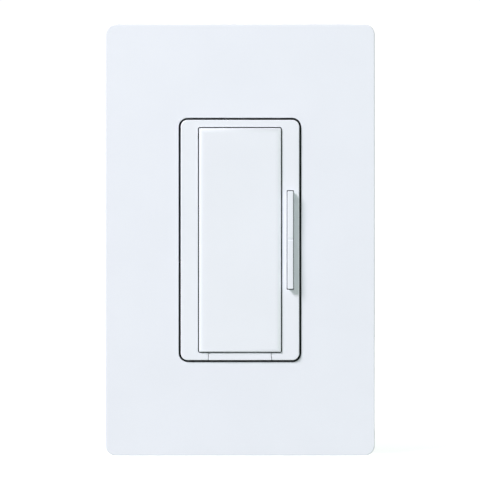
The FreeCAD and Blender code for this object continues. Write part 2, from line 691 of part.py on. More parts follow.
def post_ways(y0, y1):
    """Cutters for what passes through the carrier and yoke: paddle post, rocker feet and service arm."""
    half = POST_W / 2 + POST_PLAY
    ways = [block(-half, half, y0, y1, TAP_Z - half, TAP_Z + half)]
    half_x, half_z = ROCKER_WEB_W / 2 + POST_PLAY, ROCKER_FOOT_H / 2 + POST_PLAY
    for z in (-ROCKER_FOOT_Z, ROCKER_FOOT_Z):
        ways.append(block(ROCKER_X - half_x, ROCKER_X + half_x, y0, y1, z - half_z, z + half_z))
    half = ARM_W / 2 + ARM_PLAY
    room = ARM_HEAD_LIP + ARM_PLAY
    ways.append(block(-half, half, y0, y1, ARM_BOTTOM - room, ARM_TOP + room))
    return ways


# ------------------------------------------------------------------------------------------
# Yoke and the screws that hold it to the wall box
# ------------------------------------------------------------------------------------------


def yoke():
    """Aluminium strap and heat sink: wings scored for snapping off, windows, a lanced ground ear."""
    plate = round_plate(YOKE_W, YOKE_H - 2 * WING_END, YOKE_R, YOKE_FRONT, 0)
    plate = plate.fuse(round_plate(YOKE_EAR_W, YOKE_H, YOKE_R, YOKE_FRONT, 0)).removeSplitter()
    for side in (-1, 1):
        x = side * (BODY_W / 2 + SCORE_FROM_BODY)
        score = [
            (x - SCORE_W / 2, YOKE_FRONT - 0.01, -YOKE_H / 2),
            (x + SCORE_W / 2, YOKE_FRONT - 0.01, -YOKE_H / 2),
            (x, YOKE_FRONT + SCORE_D, -YOKE_H / 2),
        ]
        plate = plate.cut(prism(score, (0, 0, YOKE_H)))
        box_z = side * BOX_SCREW_SPACING / 2
        plate = plate.cut(slotted_hole(BOX_SLOT_L, BOX_SLOT_W, YOKE_FRONT - 1, 1, 0, box_z))
        plate_z = side * PLATE_SCREW_SPACING / 2
        plate = plate.cut(rod(SCREW_R + THREAD_PLAY, (0, YOKE_FRONT - 1, plate_z), (0, 1, plate_z)))
        for z in (-BOSS_Z, BOSS_Z):
            x = side * BOSS_X
            plate = plate.cut(rod(COVER_SCREW_R + THREAD_PLAY, (x, YOKE_FRONT - 1, z), (x, 1, z)))
        inner, outer = BEZEL_INNER_W / 2 - HOOK_PLAY, BEZEL_W / 2 + HOOK_SEAT_GAP
        low, high = sorted((side * inner, side * outer))
        half = HOOK_W / 2 + HOOK_PLAY
        for z in (-HOOK_Z, HOOK_Z):
            plate = plate.cut(block(low, high, YOKE_FRONT - 1, 1, z - half, z + half))
    for cutter in post_ways(YOKE_FRONT - 1, 1):
        plate = plate.cut(cutter)
    hole_z = TRIAC_SCREW_Z
    plate = plate.cut(rod(TRIAC_SCREW_R + THREAD_PLAY, (0, YOKE_FRONT - 1, hole_z), (0, 1, hole_z)))
    lanced = block(GROUND_X, GROUND_X + GROUND_EAR_D, YOKE_FRONT - 1, 1, *ground_ear_z())
    return plate.cut(lanced).fuse(ground_ear()).removeSplitter()


def ground_ear_z():
    """Lowest and highest z of the ground ear, and of the window it was lanced from."""
    return GROUND_Z - GROUND_EAR_W / 2, GROUND_Z + GROUND_EAR_W / 2


def ground_ear():
    """Ear lanced and bent back from the yoke below the back cover, tapped for the ground screw."""
    x0, x1 = GROUND_X - YOKE_T, GROUND_X
    ear = block(x0, x1, YOKE_FRONT, GROUND_EAR_D, *ground_ear_z())
    hole_ends = ((x0 - 1, GROUND_HOLE_Y, GROUND_Z), (x1 + 1, GROUND_HOLE_Y, GROUND_Z))
    return ear.cut(rod(SCREW_R + THREAD_PLAY, *hole_ends))


def box_screws():
    """Two pan-head screws that fasten the yoke to the wall box."""
    screws = []
    for side in (-1, 1):
        z = side * BOX_SCREW_SPACING / 2
        head = rod(BOX_HEAD_R, (0, YOKE_FRONT - BOX_HEAD_H, z), (0, YOKE_FRONT, z))
        head = head.makeFillet(BOX_HEAD_EDGE_R, edges_at_y(head, YOKE_FRONT - BOX_HEAD_H))
        head = head.cut(driver_cross(YOKE_FRONT - BOX_HEAD_H, BOX_HEAD_H / 2, RECESS_R, 0, z))
        neck = rod(SCREW_NECK_R, (0, YOKE_FRONT - SUNK, z), (0, RETAINER_T, z))
        thread = rod(SCREW_R, (0, RETAINER_T, z), (0, BOX_SCREW_L - SCREW_TIP_L, z))
        tip = cone(SCREW_R, SCREW_TIP_R, (0, BOX_SCREW_L - SCREW_TIP_L, z), (0, BOX_SCREW_L, z))
        screws.append(head.fuse([neck, thread, tip]).removeSplitter())
    return Part.makeCompound(screws)


def screw_retainers():
    """Two fibre squares that keep the box screws in the yoke until it is mounted."""
    squares = []
    for side in (-1, 1):
        z = side * BOX_SCREW_SPACING / 2
        square = round_plate(RETAINER_W, RETAINER_H, RETAINER_R, 0, RETAINER_T, 0, z)
        squares.append(square.cut(rod(SCREW_NECK_R + THREAD_PLAY, (0, -1, z), (0, 1, z))))
    return Part.makeCompound(squares)


def ground_screw():
    """Green hex screw with a washer face and a slot, in the yoke's ground ear."""
    y, face = GROUND_HOLE_Y, GROUND_X - YOKE_T
    washer_face = face - GROUND_WASHER_T
    head_end = washer_face - GROUND_HEAD_H
    washer = rod(GROUND_WASHER_R, (washer_face, y, GROUND_Z), (face, y, GROUND_Z))
    corners = []
    for turn in range(6):
        spoke = FreeCAD.Rotation(V(1, 0, 0), 60 * turn + 30).multVec(V(0, GROUND_HEAD_R, 0))
        corners.append((washer_face, y + spoke.y, GROUND_Z + spoke.z))
    hexagon = prism(corners, (-GROUND_HEAD_H, 0, 0))
    reach = GROUND_HEAD_R + 1
    slot = block(head_end - 1, head_end + 1.0, y - 0.5, y + 0.5, GROUND_Z - reach, GROUND_Z + reach)
    shank = rod(SCREW_R, (face - SUNK, y, GROUND_Z), (face + GROUND_SCREW_L, y, GROUND_Z))
    return washer.fuse([hexagon.cut(slot), shank]).removeSplitter()


# ------------------------------------------------------------------------------------------
# Air-gap switch
# ------------------------------------------------------------------------------------------


def air_gap_blade():
    """Copper strip on the service arm that bridges the two fixed contacts."""
    half = ARM_W / 2 - ARM_HEAD_LIP
    return block(-half, half, BLADE_FRONT, BLADE_FRONT + BLADE_T, ARM_BOTTOM - 0.1, ARM_TOP + 0.1)


def contact_pair(y0, y1, radius):
    """Two round contact tips, one each side of the middle."""
    tips = [rod(radius, (x, y0, CONTACT_Z), (x, y1, CONTACT_Z)) for x in (-CONTACT_X, CONTACT_X)]
    return Part.makeCompound(tips)


def blade_tips():
    """Silver tips on the moving blade."""
    return contact_pair(MOVING_TIP_BACK - CONTACT_H, MOVING_TIP_BACK, CONTACT_R)


def fixed_tips():
    """Silver tips on the fixed contacts."""
    return contact_pair(FIXED_TIP_FRONT, FIXED_TIP_FRONT + CONTACT_H, CONTACT_R)


def fixed_contacts():
    """Two brass pads on the power board that carry the fixed tips."""
    pads = []
    for side in (-1, 1):
        near, far = CONTACT_X - CONTACT_PAD_W / 2, CONTACT_X + CONTACT_PAD_W / 2
        low, high = sorted((side * near, side * far))
        z0, z1 = CONTACT_Z - CONTACT_R, CONTACT_Z + CONTACT_PAD_UP
        pads.append(block(low, high, POWER_Y - CONTACT_PAD_T, POWER_Y, z0, z1))
    return Part.makeCompound(pads)


# ------------------------------------------------------------------------------------------
# Boards and what is on them
# ------------------------------------------------------------------------------------------


def board_corner_cuts(y0, y1):
    """Cutters that clear the back cover's four screw bosses."""
    reach = BOSS_R + BOARD_EDGE_GAP
    return [rod(reach, (x, y0, z), (x, y1, z)) for x in (-BOSS_X, BOSS_X) for z in (-BOSS_Z, BOSS_Z)]


def insulator_sheet():
    """Thin sheet between the yoke and the control board."""
    half_w = BEZEL_INNER_W / 2 - 0.5
    z0, z1 = ARM_TOP + 2 * ARM_PLAY + ARM_HEAD_LIP, LEAD_Z - 2 * LEAD_ROOM
    sheet = block(-half_w, half_w, SHEET_GAP, SHEET_GAP + SHEET_T, z0, z1)
    for cutter in post_ways(-1, 1):
        sheet = sheet.cut(cutter)
    return sheet


def control_board():
    """Front board with the three press switches and the controller."""
    half_w = BODY_W / 2 - BODY_WALL_T - BOARD_EDGE_GAP
    low = ARM_TOP + ARM_HEAD_LIP + ARM_PLAY
    high = max(LEAD_Z - LEAD_ROOM, ROCKER_FOOT_Z + SWITCH_SIDE / 2 + BOARD_EDGE_GAP)
    board = block(-half_w, half_w, CONTROL_Y, CONTROL_BACK, low, high)
    half = TRIAC_W / 2 + BOARD_EDGE_GAP
    board = board.cut(block(-half, half, CONTROL_Y - 1, CONTROL_BACK + 1, LEAD_Z - LEAD_ROOM, high + 1))
    for cutter in board_corner_cuts(CONTROL_Y - 1, CONTROL_BACK + 1):
        board = board.cut(cutter)
    return board


def switch_body(x, z):
    """Square body of one press switch, bored for its plunger."""
    half = SWITCH_SIDE / 2
    body = block(x - half, x + half, SWITCH_FRONT, CONTROL_Y, z - half, z + half)
    bore_ends = ((x, SWITCH_FRONT - 1, z), (x, SWITCH_FRONT + 2 * PLUNGER_L, z))
    return body.cut(rod(PLUNGER_R + PLUNGER_PLAY, *bore_ends))


def switch_plunger(x, z):
    """Round plunger of one press switch."""
    return rod(PLUNGER_R, (x, PLUNGER_FRONT, z), (x, SWITCH_FRONT + PLUNGER_L, z))


def rocker_switch_bodies():
    """Bodies of the raise and lower switches."""
    return Part.makeCompound([switch_body(ROCKER_X, z) for z in (-ROCKER_FOOT_Z, ROCKER_FOOT_Z)])


def controller_chip():
    """Controller in a flat package on the control board, with leads along each long side."""
    x, z = CHIP_X, TAP_Z - CHIP_BELOW_TAP
    half_w, half_h = CHIP_W / 2, CHIP_H / 2
    chip_y = (CONTROL_Y - CHIP_T, CONTROL_Y - SUNK)
    chip = block(x - half_w, x + half_w, *chip_y, z - half_h, z + half_h)
    pitch = CHIP_W / (CHIP_LEADS + 1)
    reach = half_h + CHIP_LEAD_L
    for n in range(CHIP_LEADS):
        lead_x = x + (n - (CHIP_LEADS - 1) / 2) * pitch
        lead_y = (CONTROL_Y - CHIP_LEAD_T, CONTROL_Y)
        lead = block(lead_x - pitch / 5, lead_x + pitch / 5, *lead_y, z - reach, z + reach)
        chip = chip.fuse(lead)
    return chip.removeSplitter()


def board_header():
    """Pin header that joins the two boards, above the fixed contacts."""
    z0 = CONTACT_Z + CONTACT_PAD_UP + BOARD_EDGE_GAP
    return block(-HEADER_W / 2, HEADER_W / 2, CONTROL_BACK, POWER_Y, z0, z0 + HEADER_H)


def power_board():
    """Back board with the triac's leads, the filter choke, the supply and the terminals' tails."""
    half_w = POCKET_INSIDE - BOARD_EDGE_GAP / 2
    half_h = BODY_H / 2 - BODY_WALL_T - BOARD_EDGE_GAP / 2
    board = block(-half_w, half_w, POWER_Y, POWER_BACK, -half_h, half_h)
    for cutter in board_corner_cuts(POWER_Y - 1, POWER_BACK + 1):
        board = board.cut(cutter)
    for n in (-1, 0, 1):
        x = n * LEAD_PITCH
        board = board.cut(rod(LEAD_HOLE_R, (x, POWER_Y - 1, LEAD_Z), (x, POWER_BACK + 1, LEAD_Z)))
    return board


def triac_slug(front, top):
    """The tab's narrower lower half, which lies in the moulded body."""
    half = TRIAC_W / 2 - TRIAC_RIM_T
    return block(-half, half, front, TRIAC_SEAT + TRIAC_TAB_T, TRIAC_BODY_BOTTOM + TRIAC_RIM_T, top)


def triac_tab():
    """Metal tab of the triac with its three bent leads."""
    half = TRIAC_W / 2
    tab_back = TRIAC_SEAT + TRIAC_TAB_T
    tab = block(-half, half, TRIAC_SEAT, tab_back, TRIAC_BODY_TOP, TRIAC_TOP)
    tab = tab.fuse(triac_slug(TRIAC_SEAT, TRIAC_BODY_TOP))
    tab = tab.cut(rod(TRIAC_SCREW_R + SCREW_PLAY, (0, -1, TRIAC_SCREW_Z), (0, TRIAC_T, TRIAC_SCREW_Z)))
    solids = [tab]
    for n in (-1, 0, 1):
        x0, x1 = n * LEAD_PITCH - LEAD_W / 2, n * LEAD_PITCH + LEAD_W / 2
        down = block(x0, x1, LEAD_Y, LEAD_Y + LEAD_T, LEAD_Z - LEAD_T / 2, TRIAC_BODY_BOTTOM)
        back = block(x0, x1, LEAD_Y, POWER_BACK + LEAD_END, LEAD_Z - LEAD_T / 2, LEAD_Z + LEAD_T / 2)
        solids.append(down.fuse(back).removeSplitter())
    return Part.makeCompound(solids)


def triac_body():
    """Moulded body of the triac, open where the metal tab lies in it."""
    half = TRIAC_W / 2
    body = block(-half, half, TRIAC_SEAT, TRIAC_SEAT + TRIAC_T, TRIAC_BODY_BOTTOM, TRIAC_BODY_TOP)
    return body.cut(triac_slug(TRIAC_SEAT - 1, TRIAC_BODY_TOP + 1))


def triac_pad():
    """Thermal pad between the triac and the yoke."""
    half = TRIAC_W / 2 + TRIAC_PAD_OUT
    pad = block(-half, half, 0, TRIAC_PAD_T, TRIAC_BODY_BOTTOM, TRIAC_TOP)
    return pad.cut(rod(TRIAC_SCREW_R + SCREW_PLAY, (0, -1, TRIAC_SCREW_Z), (0, 1, TRIAC_SCREW_Z)))


def triac_screw():
    """Screw that clamps the triac to the yoke."""
    z = TRIAC_SCREW_Z
    seat = TRIAC_SEAT + TRIAC_TAB_T
    head_back = seat + TRIAC_HEAD_H
    head = rod(TRIAC_HEAD_R, (0, seat, z), (0, head_back, z))
    half = RECESS_ARM_W / 2
    head = head.cut(block(-5, 5, head_back - TRIAC_HEAD_H / 3, head_back + 1, z - half, z + half))
    shank = rod(TRIAC_SCREW_R, (0, YOKE_FRONT + SUNK, z), (0, seat + SUNK, z))
    return head.fuse(shank).removeSplitter()


def choke_ring(outer, inner, y0, y1):
    """Ring of the filter choke."""
    ring = rod(outer, (CHOKE_X, y0, CHOKE_Z), (CHOKE_X, y1, CHOKE_Z))
    return ring.cut(rod(inner, (CHOKE_X, y0 - 1, CHOKE_Z), (CHOKE_X, y1 + 1, CHOKE_Z)))


def choke_core():
    """Powdered-iron core of the filter choke."""
    front = CHOKE_FRONT + WIRE_T
    return choke_ring(CHOKE_OUT_R, CHOKE_IN_R, front, front + CHOKE_T)


def choke_winding():
    """Copper turns round the core as one wrap, open at its foot, with two tails to the board."""
    wrap_back = CHOKE_FRONT + CHOKE_T + 2 * WIRE_T
    wrap = choke_ring(CHOKE_OUT_R + WIRE_T, CHOKE_IN_R - WIRE_T, CHOKE_FRONT, wrap_back)
    half = 1.5 * WIRE_T
    gap_x = (CHOKE_X - half, CHOKE_X + half)
    gap = block(*gap_x, CHOKE_FRONT - 1, wrap_back + 1, CHOKE_Z - CHOKE_OUT_R - 2 * WIRE_T, CHOKE_Z)
    wrap = wrap.cut(choke_core()).cut(gap)
    tail_z = CHOKE_Z - (CHOKE_OUT_R + CHOKE_IN_R) / 2
    for side in (-1, 1):
        x = CHOKE_X + side * (half + WIRE_T)
        wrap = wrap.fuse(rod(WIRE_T / 2, (x, POWER_BACK, tail_z), (x, CHOKE_FRONT + WIRE_T / 2, tail_z)))
    return wrap.removeSplitter()


def film_capacitor():
    """Boxed film capacitor of the noise filter."""
    half_w, half_h = FILM_CAP_W / 2, FILM_CAP_H / 2
    x, z = FILM_CAP_X, FILM_CAP_Z
    box = block(x - half_w, x + half_w, POWER_BACK, POWER_BACK + FILM_CAP_D, z - half_h, z + half_h)
    return box.makeFillet(0.6, edges_along_y(box))


def supply_capacitor():
    """Electrolytic capacitor of the low-voltage supply, standing on its end."""
    end = POWER_BACK + CAN_L
    can = rod(CAN_R, (CAN_X, POWER_BACK, CAN_Z), (CAN_X, end, CAN_Z))
    return can.makeFillet(0.5, edges_at_y(can, end))


def surge_varistor():
    """Disc varistor across the mains, standing on two leads."""
    y = POWER_BACK + VARISTOR_R + 0.5
    half = VARISTOR_T / 2
    disc = rod(VARISTOR_R, (VARISTOR_X - half, y, VARISTOR_Z), (VARISTOR_X + half, y, VARISTOR_Z))
    for side in (-1, 1):
        z = VARISTOR_Z + side * VARISTOR_R / 2
        disc = disc.fuse(rod(PART_LEAD_R, (VARISTOR_X, POWER_BACK, z), (VARISTOR_X, y, z)))
    return disc.removeSplitter()


def fuse_resistor():
    """Fusible resistor in the supply's feed, with its bent leads."""
    y, z = POWER_BACK + RESISTOR_R + 0.5, RESISTOR_Z
    half, reach = RESISTOR_L / 2, RESISTOR_L / 2 + 1.9
    body = rod(RESISTOR_R, (RESISTOR_X - half, y, z), (RESISTOR_X + half, y, z))
    body = body.fuse(rod(PART_LEAD_R, (RESISTOR_X - reach, y, z), (RESISTOR_X + reach, y, z)))
    foot = PART_LEAD_R + 0.1
    for side in (-1, 1):
        x = RESISTOR_X + side * reach
        body = body.fuse(block(x - foot, x + foot, POWER_BACK, y + foot, z - foot, z + foot))
    return body.removeSplitter()


def bridge_rectifier():
    """Small square bridge rectifier on the power board."""
    half, x, z = RECTIFIER_SIDE / 2, RECTIFIER_X, RECTIFIER_Z
    return block(x - half, x + half, POWER_BACK, POWER_BACK + RECTIFIER_T, z - half, z + half)


# ------------------------------------------------------------------------------------------
# Back cover, its screws and the wire terminals
# ------------------------------------------------------------------------------------------


def back_cover():
    """Deep moulded cover behind the yoke, with screw bosses and stepped pockets for the terminals."""
    shell = round_plate(BODY_W, BODY_H, BODY_R, 0, BODY_D)
    shell = shell.makeFillet(BODY_EDGE_R, edges_at_y(shell, BODY_D))
    inner = (BODY_W - 2 * BODY_WALL_T, BODY_H - 2 * BODY_WALL_T)
    cavity = round_plate(*inner, BODY_R - BODY_WALL_T, -1, BODY_D - BODY_WALL_T)
    for x in (-BOSS_X, BOSS_X):
        for z in (-BOSS_Z, BOSS_Z):
            cavity = cavity.cut(rod(BOSS_R, (x, -2, z), (x, BODY_D, z)))
    step = POCKET_H / 2 + POCKET_WALL_T
    for side, z in TERMINALS.values():
        low, high = sorted((side * POCKET_INSIDE, side * BODY_W))
        cavity = cavity.cut(block(low, high, POCKET_Y - POCKET_WALL_T, BODY_D, z - step, z + step))
    shell = shell.cut(cavity)
    for side, z in TERMINALS.values():
        low, high = sorted((side * POCKET_FLOOR, side * BODY_W))
        shell = shell.cut(block(low, high, POCKET_Y, BODY_D + 1, z - POCKET_H / 2, z + POCKET_H / 2))
        start, end = side * (POCKET_INSIDE - 1), side * (POCKET_FLOOR + 1)
        bore = SCREW_R + SCREW_PLAY
        shell = shell.cut(rod(bore, (start, TERMINAL_Y, z), (end, TERMINAL_Y, z)))
        low, high = sorted((start, end))
        tail_y = (POWER_BACK - TAIL_PLAY, POWER_BACK + TAIL_T + TAIL_PLAY)
        half = TAIL_W / 2 + TAIL_PLAY
        shell = shell.cut(block(low, high, *tail_y, z - half, z + half))
    for x in (-BOSS_X, BOSS_X):
        for z in (-BOSS_Z, BOSS_Z):
            shell = shell.cut(rod(COVER_SCREW_R + SCREW_PLAY, (x, -1, z), (x, BODY_D + 1, z)))
            counterbore_r = COVER_HEAD_R + 2 * SCREW_PLAY
            shell = shell.cut(rod(counterbore_r, (x, COVER_SEAT, z), (x, BODY_D + 1, z)))
    label = round_plate(LABEL_W, LABEL_H, 3 * LABEL_D, BODY_D - LABEL_D, BODY_D + 1)
    return shell.cut(label).removeSplitter()


def cover_screws():
    """Four screws that pull the back cover to the yoke."""
    screws = []
    for x in (-BOSS_X, BOSS_X):
        for z in (-BOSS_Z, BOSS_Z):
            head_back = COVER_SEAT + COVER_HEAD_H
            head = rod(COVER_HEAD_R, (x, COVER_SEAT, z), (x, head_back, z))
            cross = driver_cross(head_back - RECESS_D, 2 * RECESS_D, COVER_SCREW_R, x, z)
            shank = rod(COVER_SCREW_R, (x, YOKE_FRONT + SUNK, z), (x, COVER_SEAT + SUNK, z))
            screws.append(head.cut(cross).fuse(shank).removeSplitter())
    return Part.makeCompound(screws)


def terminal_stack(side):
    """Distances from the middle of a terminal's plate, clamp and screw head, inner face first."""
    plate = POCKET_FLOOR
    clamp = plate + TERMINAL_PLATE_T + WIRE_ROOM
    head = clamp + CLAMP_T
    return side * plate, side * clamp, side * head


def terminal_plates():
    """Brass plates of the three wire terminals, each with a tail soldered to the power board."""
    plates = []
    half = TERMINAL_PLATE_W / 2
    for side, z in TERMINALS.values():
        plate_x, clamp_x, head_x = terminal_stack(side)
        low, high = sorted((plate_x, plate_x + side * TERMINAL_PLATE_T))
        plate = block(low, high, TERMINAL_Y - half, TERMINAL_Y + half, z - half, z + half)
        low, high = sorted((plate_x, side * (POCKET_INSIDE - TAIL_IN)))
        tail = block(low, high, POWER_BACK, POWER_BACK + TAIL_T, z - TAIL_W / 2, z + TAIL_W / 2)
        bore = rod(SCREW_R + THREAD_PLAY, (plate_x - 3, TERMINAL_Y, z), (plate_x + 3, TERMINAL_Y, z))
        plates.append(plate.fuse(tail).cut(bore).removeSplitter())
    return Part.makeCompound(plates)


def wire_clamps():
    """Square clamp plates under the three terminal screws."""
    clamps = []
    half = CLAMP_W / 2
    for side, z in TERMINALS.values():
        plate_x, clamp_x, head_x = terminal_stack(side)
        low, high = sorted((clamp_x, head_x))
        clamp = block(low, high, TERMINAL_Y - half, TERMINAL_Y + half, z - half, z + half)
        bore = rod(SCREW_R + SCREW_PLAY, (clamp_x - 3, TERMINAL_Y, z), (clamp_x + 3, TERMINAL_Y, z))
        clamps.append(clamp.cut(bore))
    return Part.makeCompound(clamps)


def terminal_screw(name):
    """Screw of one wire terminal."""
    side, z = TERMINALS[name]
    plate_x, clamp_x, head_x = terminal_stack(side)
    y = TERMINAL_Y
    out = head_x + side * TERMINAL_HEAD_H
    head = rod(TERMINAL_HEAD_R, (head_x, y, z), (out, y, z))
    low, high = sorted((out - side * RECESS_D, out + side))
    half = RECESS_ARM_W / 2
    head = head.cut(block(low, high, y - half, y + half, z - TERMINAL_HEAD_R, z + TERMINAL_HEAD_R))
    shank_ends = ((side * (POCKET_INSIDE - 1), y, z), (head_x + side * SUNK, y, z))
    return head.fuse(rod(SCREW_R, *shank_ends)).removeSplitter()


# ------------------------------------------------------------------------------------------
# Every sub-part, by node name
# ------------------------------------------------------------------------------------------

NODES = {
    "wall_plate": wall_plate,
    "plate_adapter": plate_adapter,
    "adapter_screws": adapter_screws,
    "bezel": bezel,
    "tap_paddle": tap_paddle,
    "dimming_rocker": dimming_rocker,
    "service_tab": service_tab,
    "button_carrier": button_carrier,
    "yoke": yoke,
    "box_screws": box_screws,
    "screw_retainers": screw_retainers,
    "ground_screw": ground_screw,
    "air_gap_blade": air_gap_blade,
    "blade_tips": blade_tips,
    "fixed_tips": fixed_tips,
    "fixed_contacts": fixed_contacts,
    "insulator_sheet": insulator_sheet,
    "control_board": control_board,
    "tap_switch_body": lambda: switch_body(0, TAP_Z),
    "tap_switch_plunger": lambda: switch_plunger(0, TAP_Z),
    "rocker_switch_bodies": rocker_switch_bodies,
    "raise_switch_plunger": lambda: switch_plunger(ROCKER_X, ROCKER_FOOT_Z),
    "lower_switch_plunger": lambda: switch_plunger(ROCKER_X, -ROCKER_FOOT_Z),
    "controller_chip": controller_chip,
    "board_header": board_header,
    "power_board": power_board,
    "triac_tab": triac_tab,
    "triac_body": triac_body,
    "triac_pad": triac_pad,
    "triac_screw": triac_screw,
    "choke_core": choke_core,
    "choke_winding": choke_winding,
    "film_capacitor": film_capacitor,
    "supply_capacitor": supply_capacitor,
    "surge_varistor": surge_varistor,
    "fuse_resistor": fuse_resistor,
    "bridge_rectifier": bridge_rectifier,
    "back_cover": back_cover,
    "cover_screws": cover_screws,
    "terminal_plates": terminal_plates,
    "wire_clamps": wire_clamps,
    "line_terminal_screw": lambda: terminal_screw("line"),
    "load_terminal_screw": lambda: terminal_screw("load"),
    "remote_terminal_screw": lambda: terminal_screw("remote"),
}

os.makedirs("parts", exist_ok=True)
for name, make in NODES.items():
    shape = make()
    solids = shape.Solids
    if not solids or not all(s.isValid() for s in solids):
        raise SystemExit(f"{name} is not a set of valid solids")
    whole = solids[0] if len(solids) == 1 else Part.makeCompound(solids)
    whole.exportStep(f"parts/{name}.step")
    print(f"{name}: {len(solids)} solid(s), {sum(s.Volume for s in solids):.1f} mm3")
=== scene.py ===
import bmesh
import bpy
import math
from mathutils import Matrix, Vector


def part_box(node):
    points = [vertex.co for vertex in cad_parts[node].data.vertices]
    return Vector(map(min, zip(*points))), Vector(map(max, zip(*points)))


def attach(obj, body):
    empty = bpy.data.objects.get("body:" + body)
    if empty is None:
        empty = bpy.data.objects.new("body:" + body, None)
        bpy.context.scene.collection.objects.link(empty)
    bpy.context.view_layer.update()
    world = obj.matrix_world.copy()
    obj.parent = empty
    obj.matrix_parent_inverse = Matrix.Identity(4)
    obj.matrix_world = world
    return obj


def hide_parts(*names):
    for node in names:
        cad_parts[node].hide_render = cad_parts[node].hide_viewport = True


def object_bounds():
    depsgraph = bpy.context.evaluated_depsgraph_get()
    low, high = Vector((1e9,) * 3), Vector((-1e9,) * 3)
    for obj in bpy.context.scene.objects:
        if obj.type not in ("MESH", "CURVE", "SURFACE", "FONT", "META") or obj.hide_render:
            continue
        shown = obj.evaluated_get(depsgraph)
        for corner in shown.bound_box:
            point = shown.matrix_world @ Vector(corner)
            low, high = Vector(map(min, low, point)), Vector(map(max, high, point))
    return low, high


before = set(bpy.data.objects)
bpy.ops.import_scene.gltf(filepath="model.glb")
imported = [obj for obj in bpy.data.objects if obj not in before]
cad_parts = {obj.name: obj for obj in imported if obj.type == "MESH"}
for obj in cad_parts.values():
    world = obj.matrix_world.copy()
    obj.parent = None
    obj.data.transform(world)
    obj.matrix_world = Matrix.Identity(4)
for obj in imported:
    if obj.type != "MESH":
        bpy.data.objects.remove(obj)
cad_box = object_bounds()

# ---------------------------------------------------------------------------------------------
# Yoke: the strap that everything is fixed to, and the heat sink of the triac.
# Aluminium sheet, 1.6 mm, punched and pressed; its edges are barely broken by tumbling.
# Its middle, under the face, is darkened as painted shade, so that no metal glints in the gaps.
# ---------------------------------------------------------------------------------------------

MM = 0.001
WELD_MM = 0.002
FLAT_DEG = 0.4
# Painted shade of the gaps: its dark grey, and the depth over which it fades in.
PAINTED_GAP_SHADE = "#202321"
PAINTED_SHADE_FADE_MM = 0.15
# Areas that lie in the gaps and take painted shade are given as half width, half height and depth, in mm.
YOKE_PAINTED_SHADE = (18.5, 35.5, -2.0)


def linear(code):
    """Colour given as sRGB hex, turned to linear."""
    parts = [int(code[i:i + 2], 16) / 255 for i in (1, 3, 5)]
    return tuple(p / 12.92 if p <= 0.04045 else ((p + 0.055) / 1.055) ** 2.4 for p in parts) + (1.0,)


def add(tree, kind, values=None, links=None, stops=None):
    """Adds one node, sets its inputs or properties, links its inputs and sets its colour stops."""
    node = tree.nodes.new(kind)
    for key, value in (values or {}).items():
        if isinstance(key, int) or key in node.inputs:
            node.inputs[key].default_value = value
        else:
            setattr(node, key, value)
    for key, socket in (links or {}).items():
        tree.links.new(socket, node.inputs[key])
    if stops:
        ramp = node.color_ramp
        while len(ramp.elements) < len(stops):
            ramp.elements.new(0.5)
        for element, (place, colour) in zip(ramp.elements, stops):
            element.position = place
            element.color = linear(colour)
    return node


def start_finish(name, surface):
    """New material whose Principled shader has these plain values. Gives tree, shader and mm coordinates."""
    material = bpy.data.materials.new(name)
    material.use_nodes = True
    tree = material.node_tree
    tree.nodes.clear()
    shader = add(tree, "ShaderNodeBsdfPrincipled", surface)
    add(tree, "ShaderNodeOutputMaterial", links={"Surface": shader.outputs["BSDF"]})
    place = add(tree, "ShaderNodeTexCoord")
    in_mm = add(tree, "ShaderNodeVectorMath", {"operation": "SCALE", "Scale": 1000.0},
                {0: place.outputs["Object"]})
    return material, tree, shader, in_mm.outputs["Vector"]


def between(tree, value, low, high):
    """A 0 to 1 pattern mapped to a range, for roughness."""
    mapped = add(tree, "ShaderNodeMapRange", {"To Min": low, "To Max": high}, {"Value": value})
    return mapped.outputs["Result"]


def paint_gap_shade(tree, mm, colour, half_wide, half_high, deeper_than):
    """Paints shade: darkens what lies within a half width and half height, from a depth inwards, all in mm,
    to the grey of a deep gap.
    """
    parts = add(tree, "ShaderNodeSeparateXYZ", links={0: mm})
    fade = {"From Min": deeper_than, "From Max": deeper_than + PAINTED_SHADE_FADE_MM}
    inside = add(tree, "ShaderNodeMapRange", fade, {"Value": parts.outputs["Y"]}).outputs["Result"]
    for axis, half in (("X", half_wide), ("Z", half_high)):
        off = add(tree, "ShaderNodeMath", {"operation": "ABSOLUTE"}, {0: parts.outputs[axis]})
        near = add(tree, "ShaderNodeMath", {"operation": "LESS_THAN", 1: half}, {0: off.outputs["Value"]})
        inside = add(tree, "ShaderNodeMath", {"operation": "MULTIPLY"},
                     {0: inside, 1: near.outputs["Value"]}).outputs["Value"]
    mixed = add(tree, "ShaderNodeMix", {"data_type": "RGBA", "B": linear(PAINTED_GAP_SHADE)},
                {"Factor": inside, "A": colour})
    return mixed.outputs["Result"]


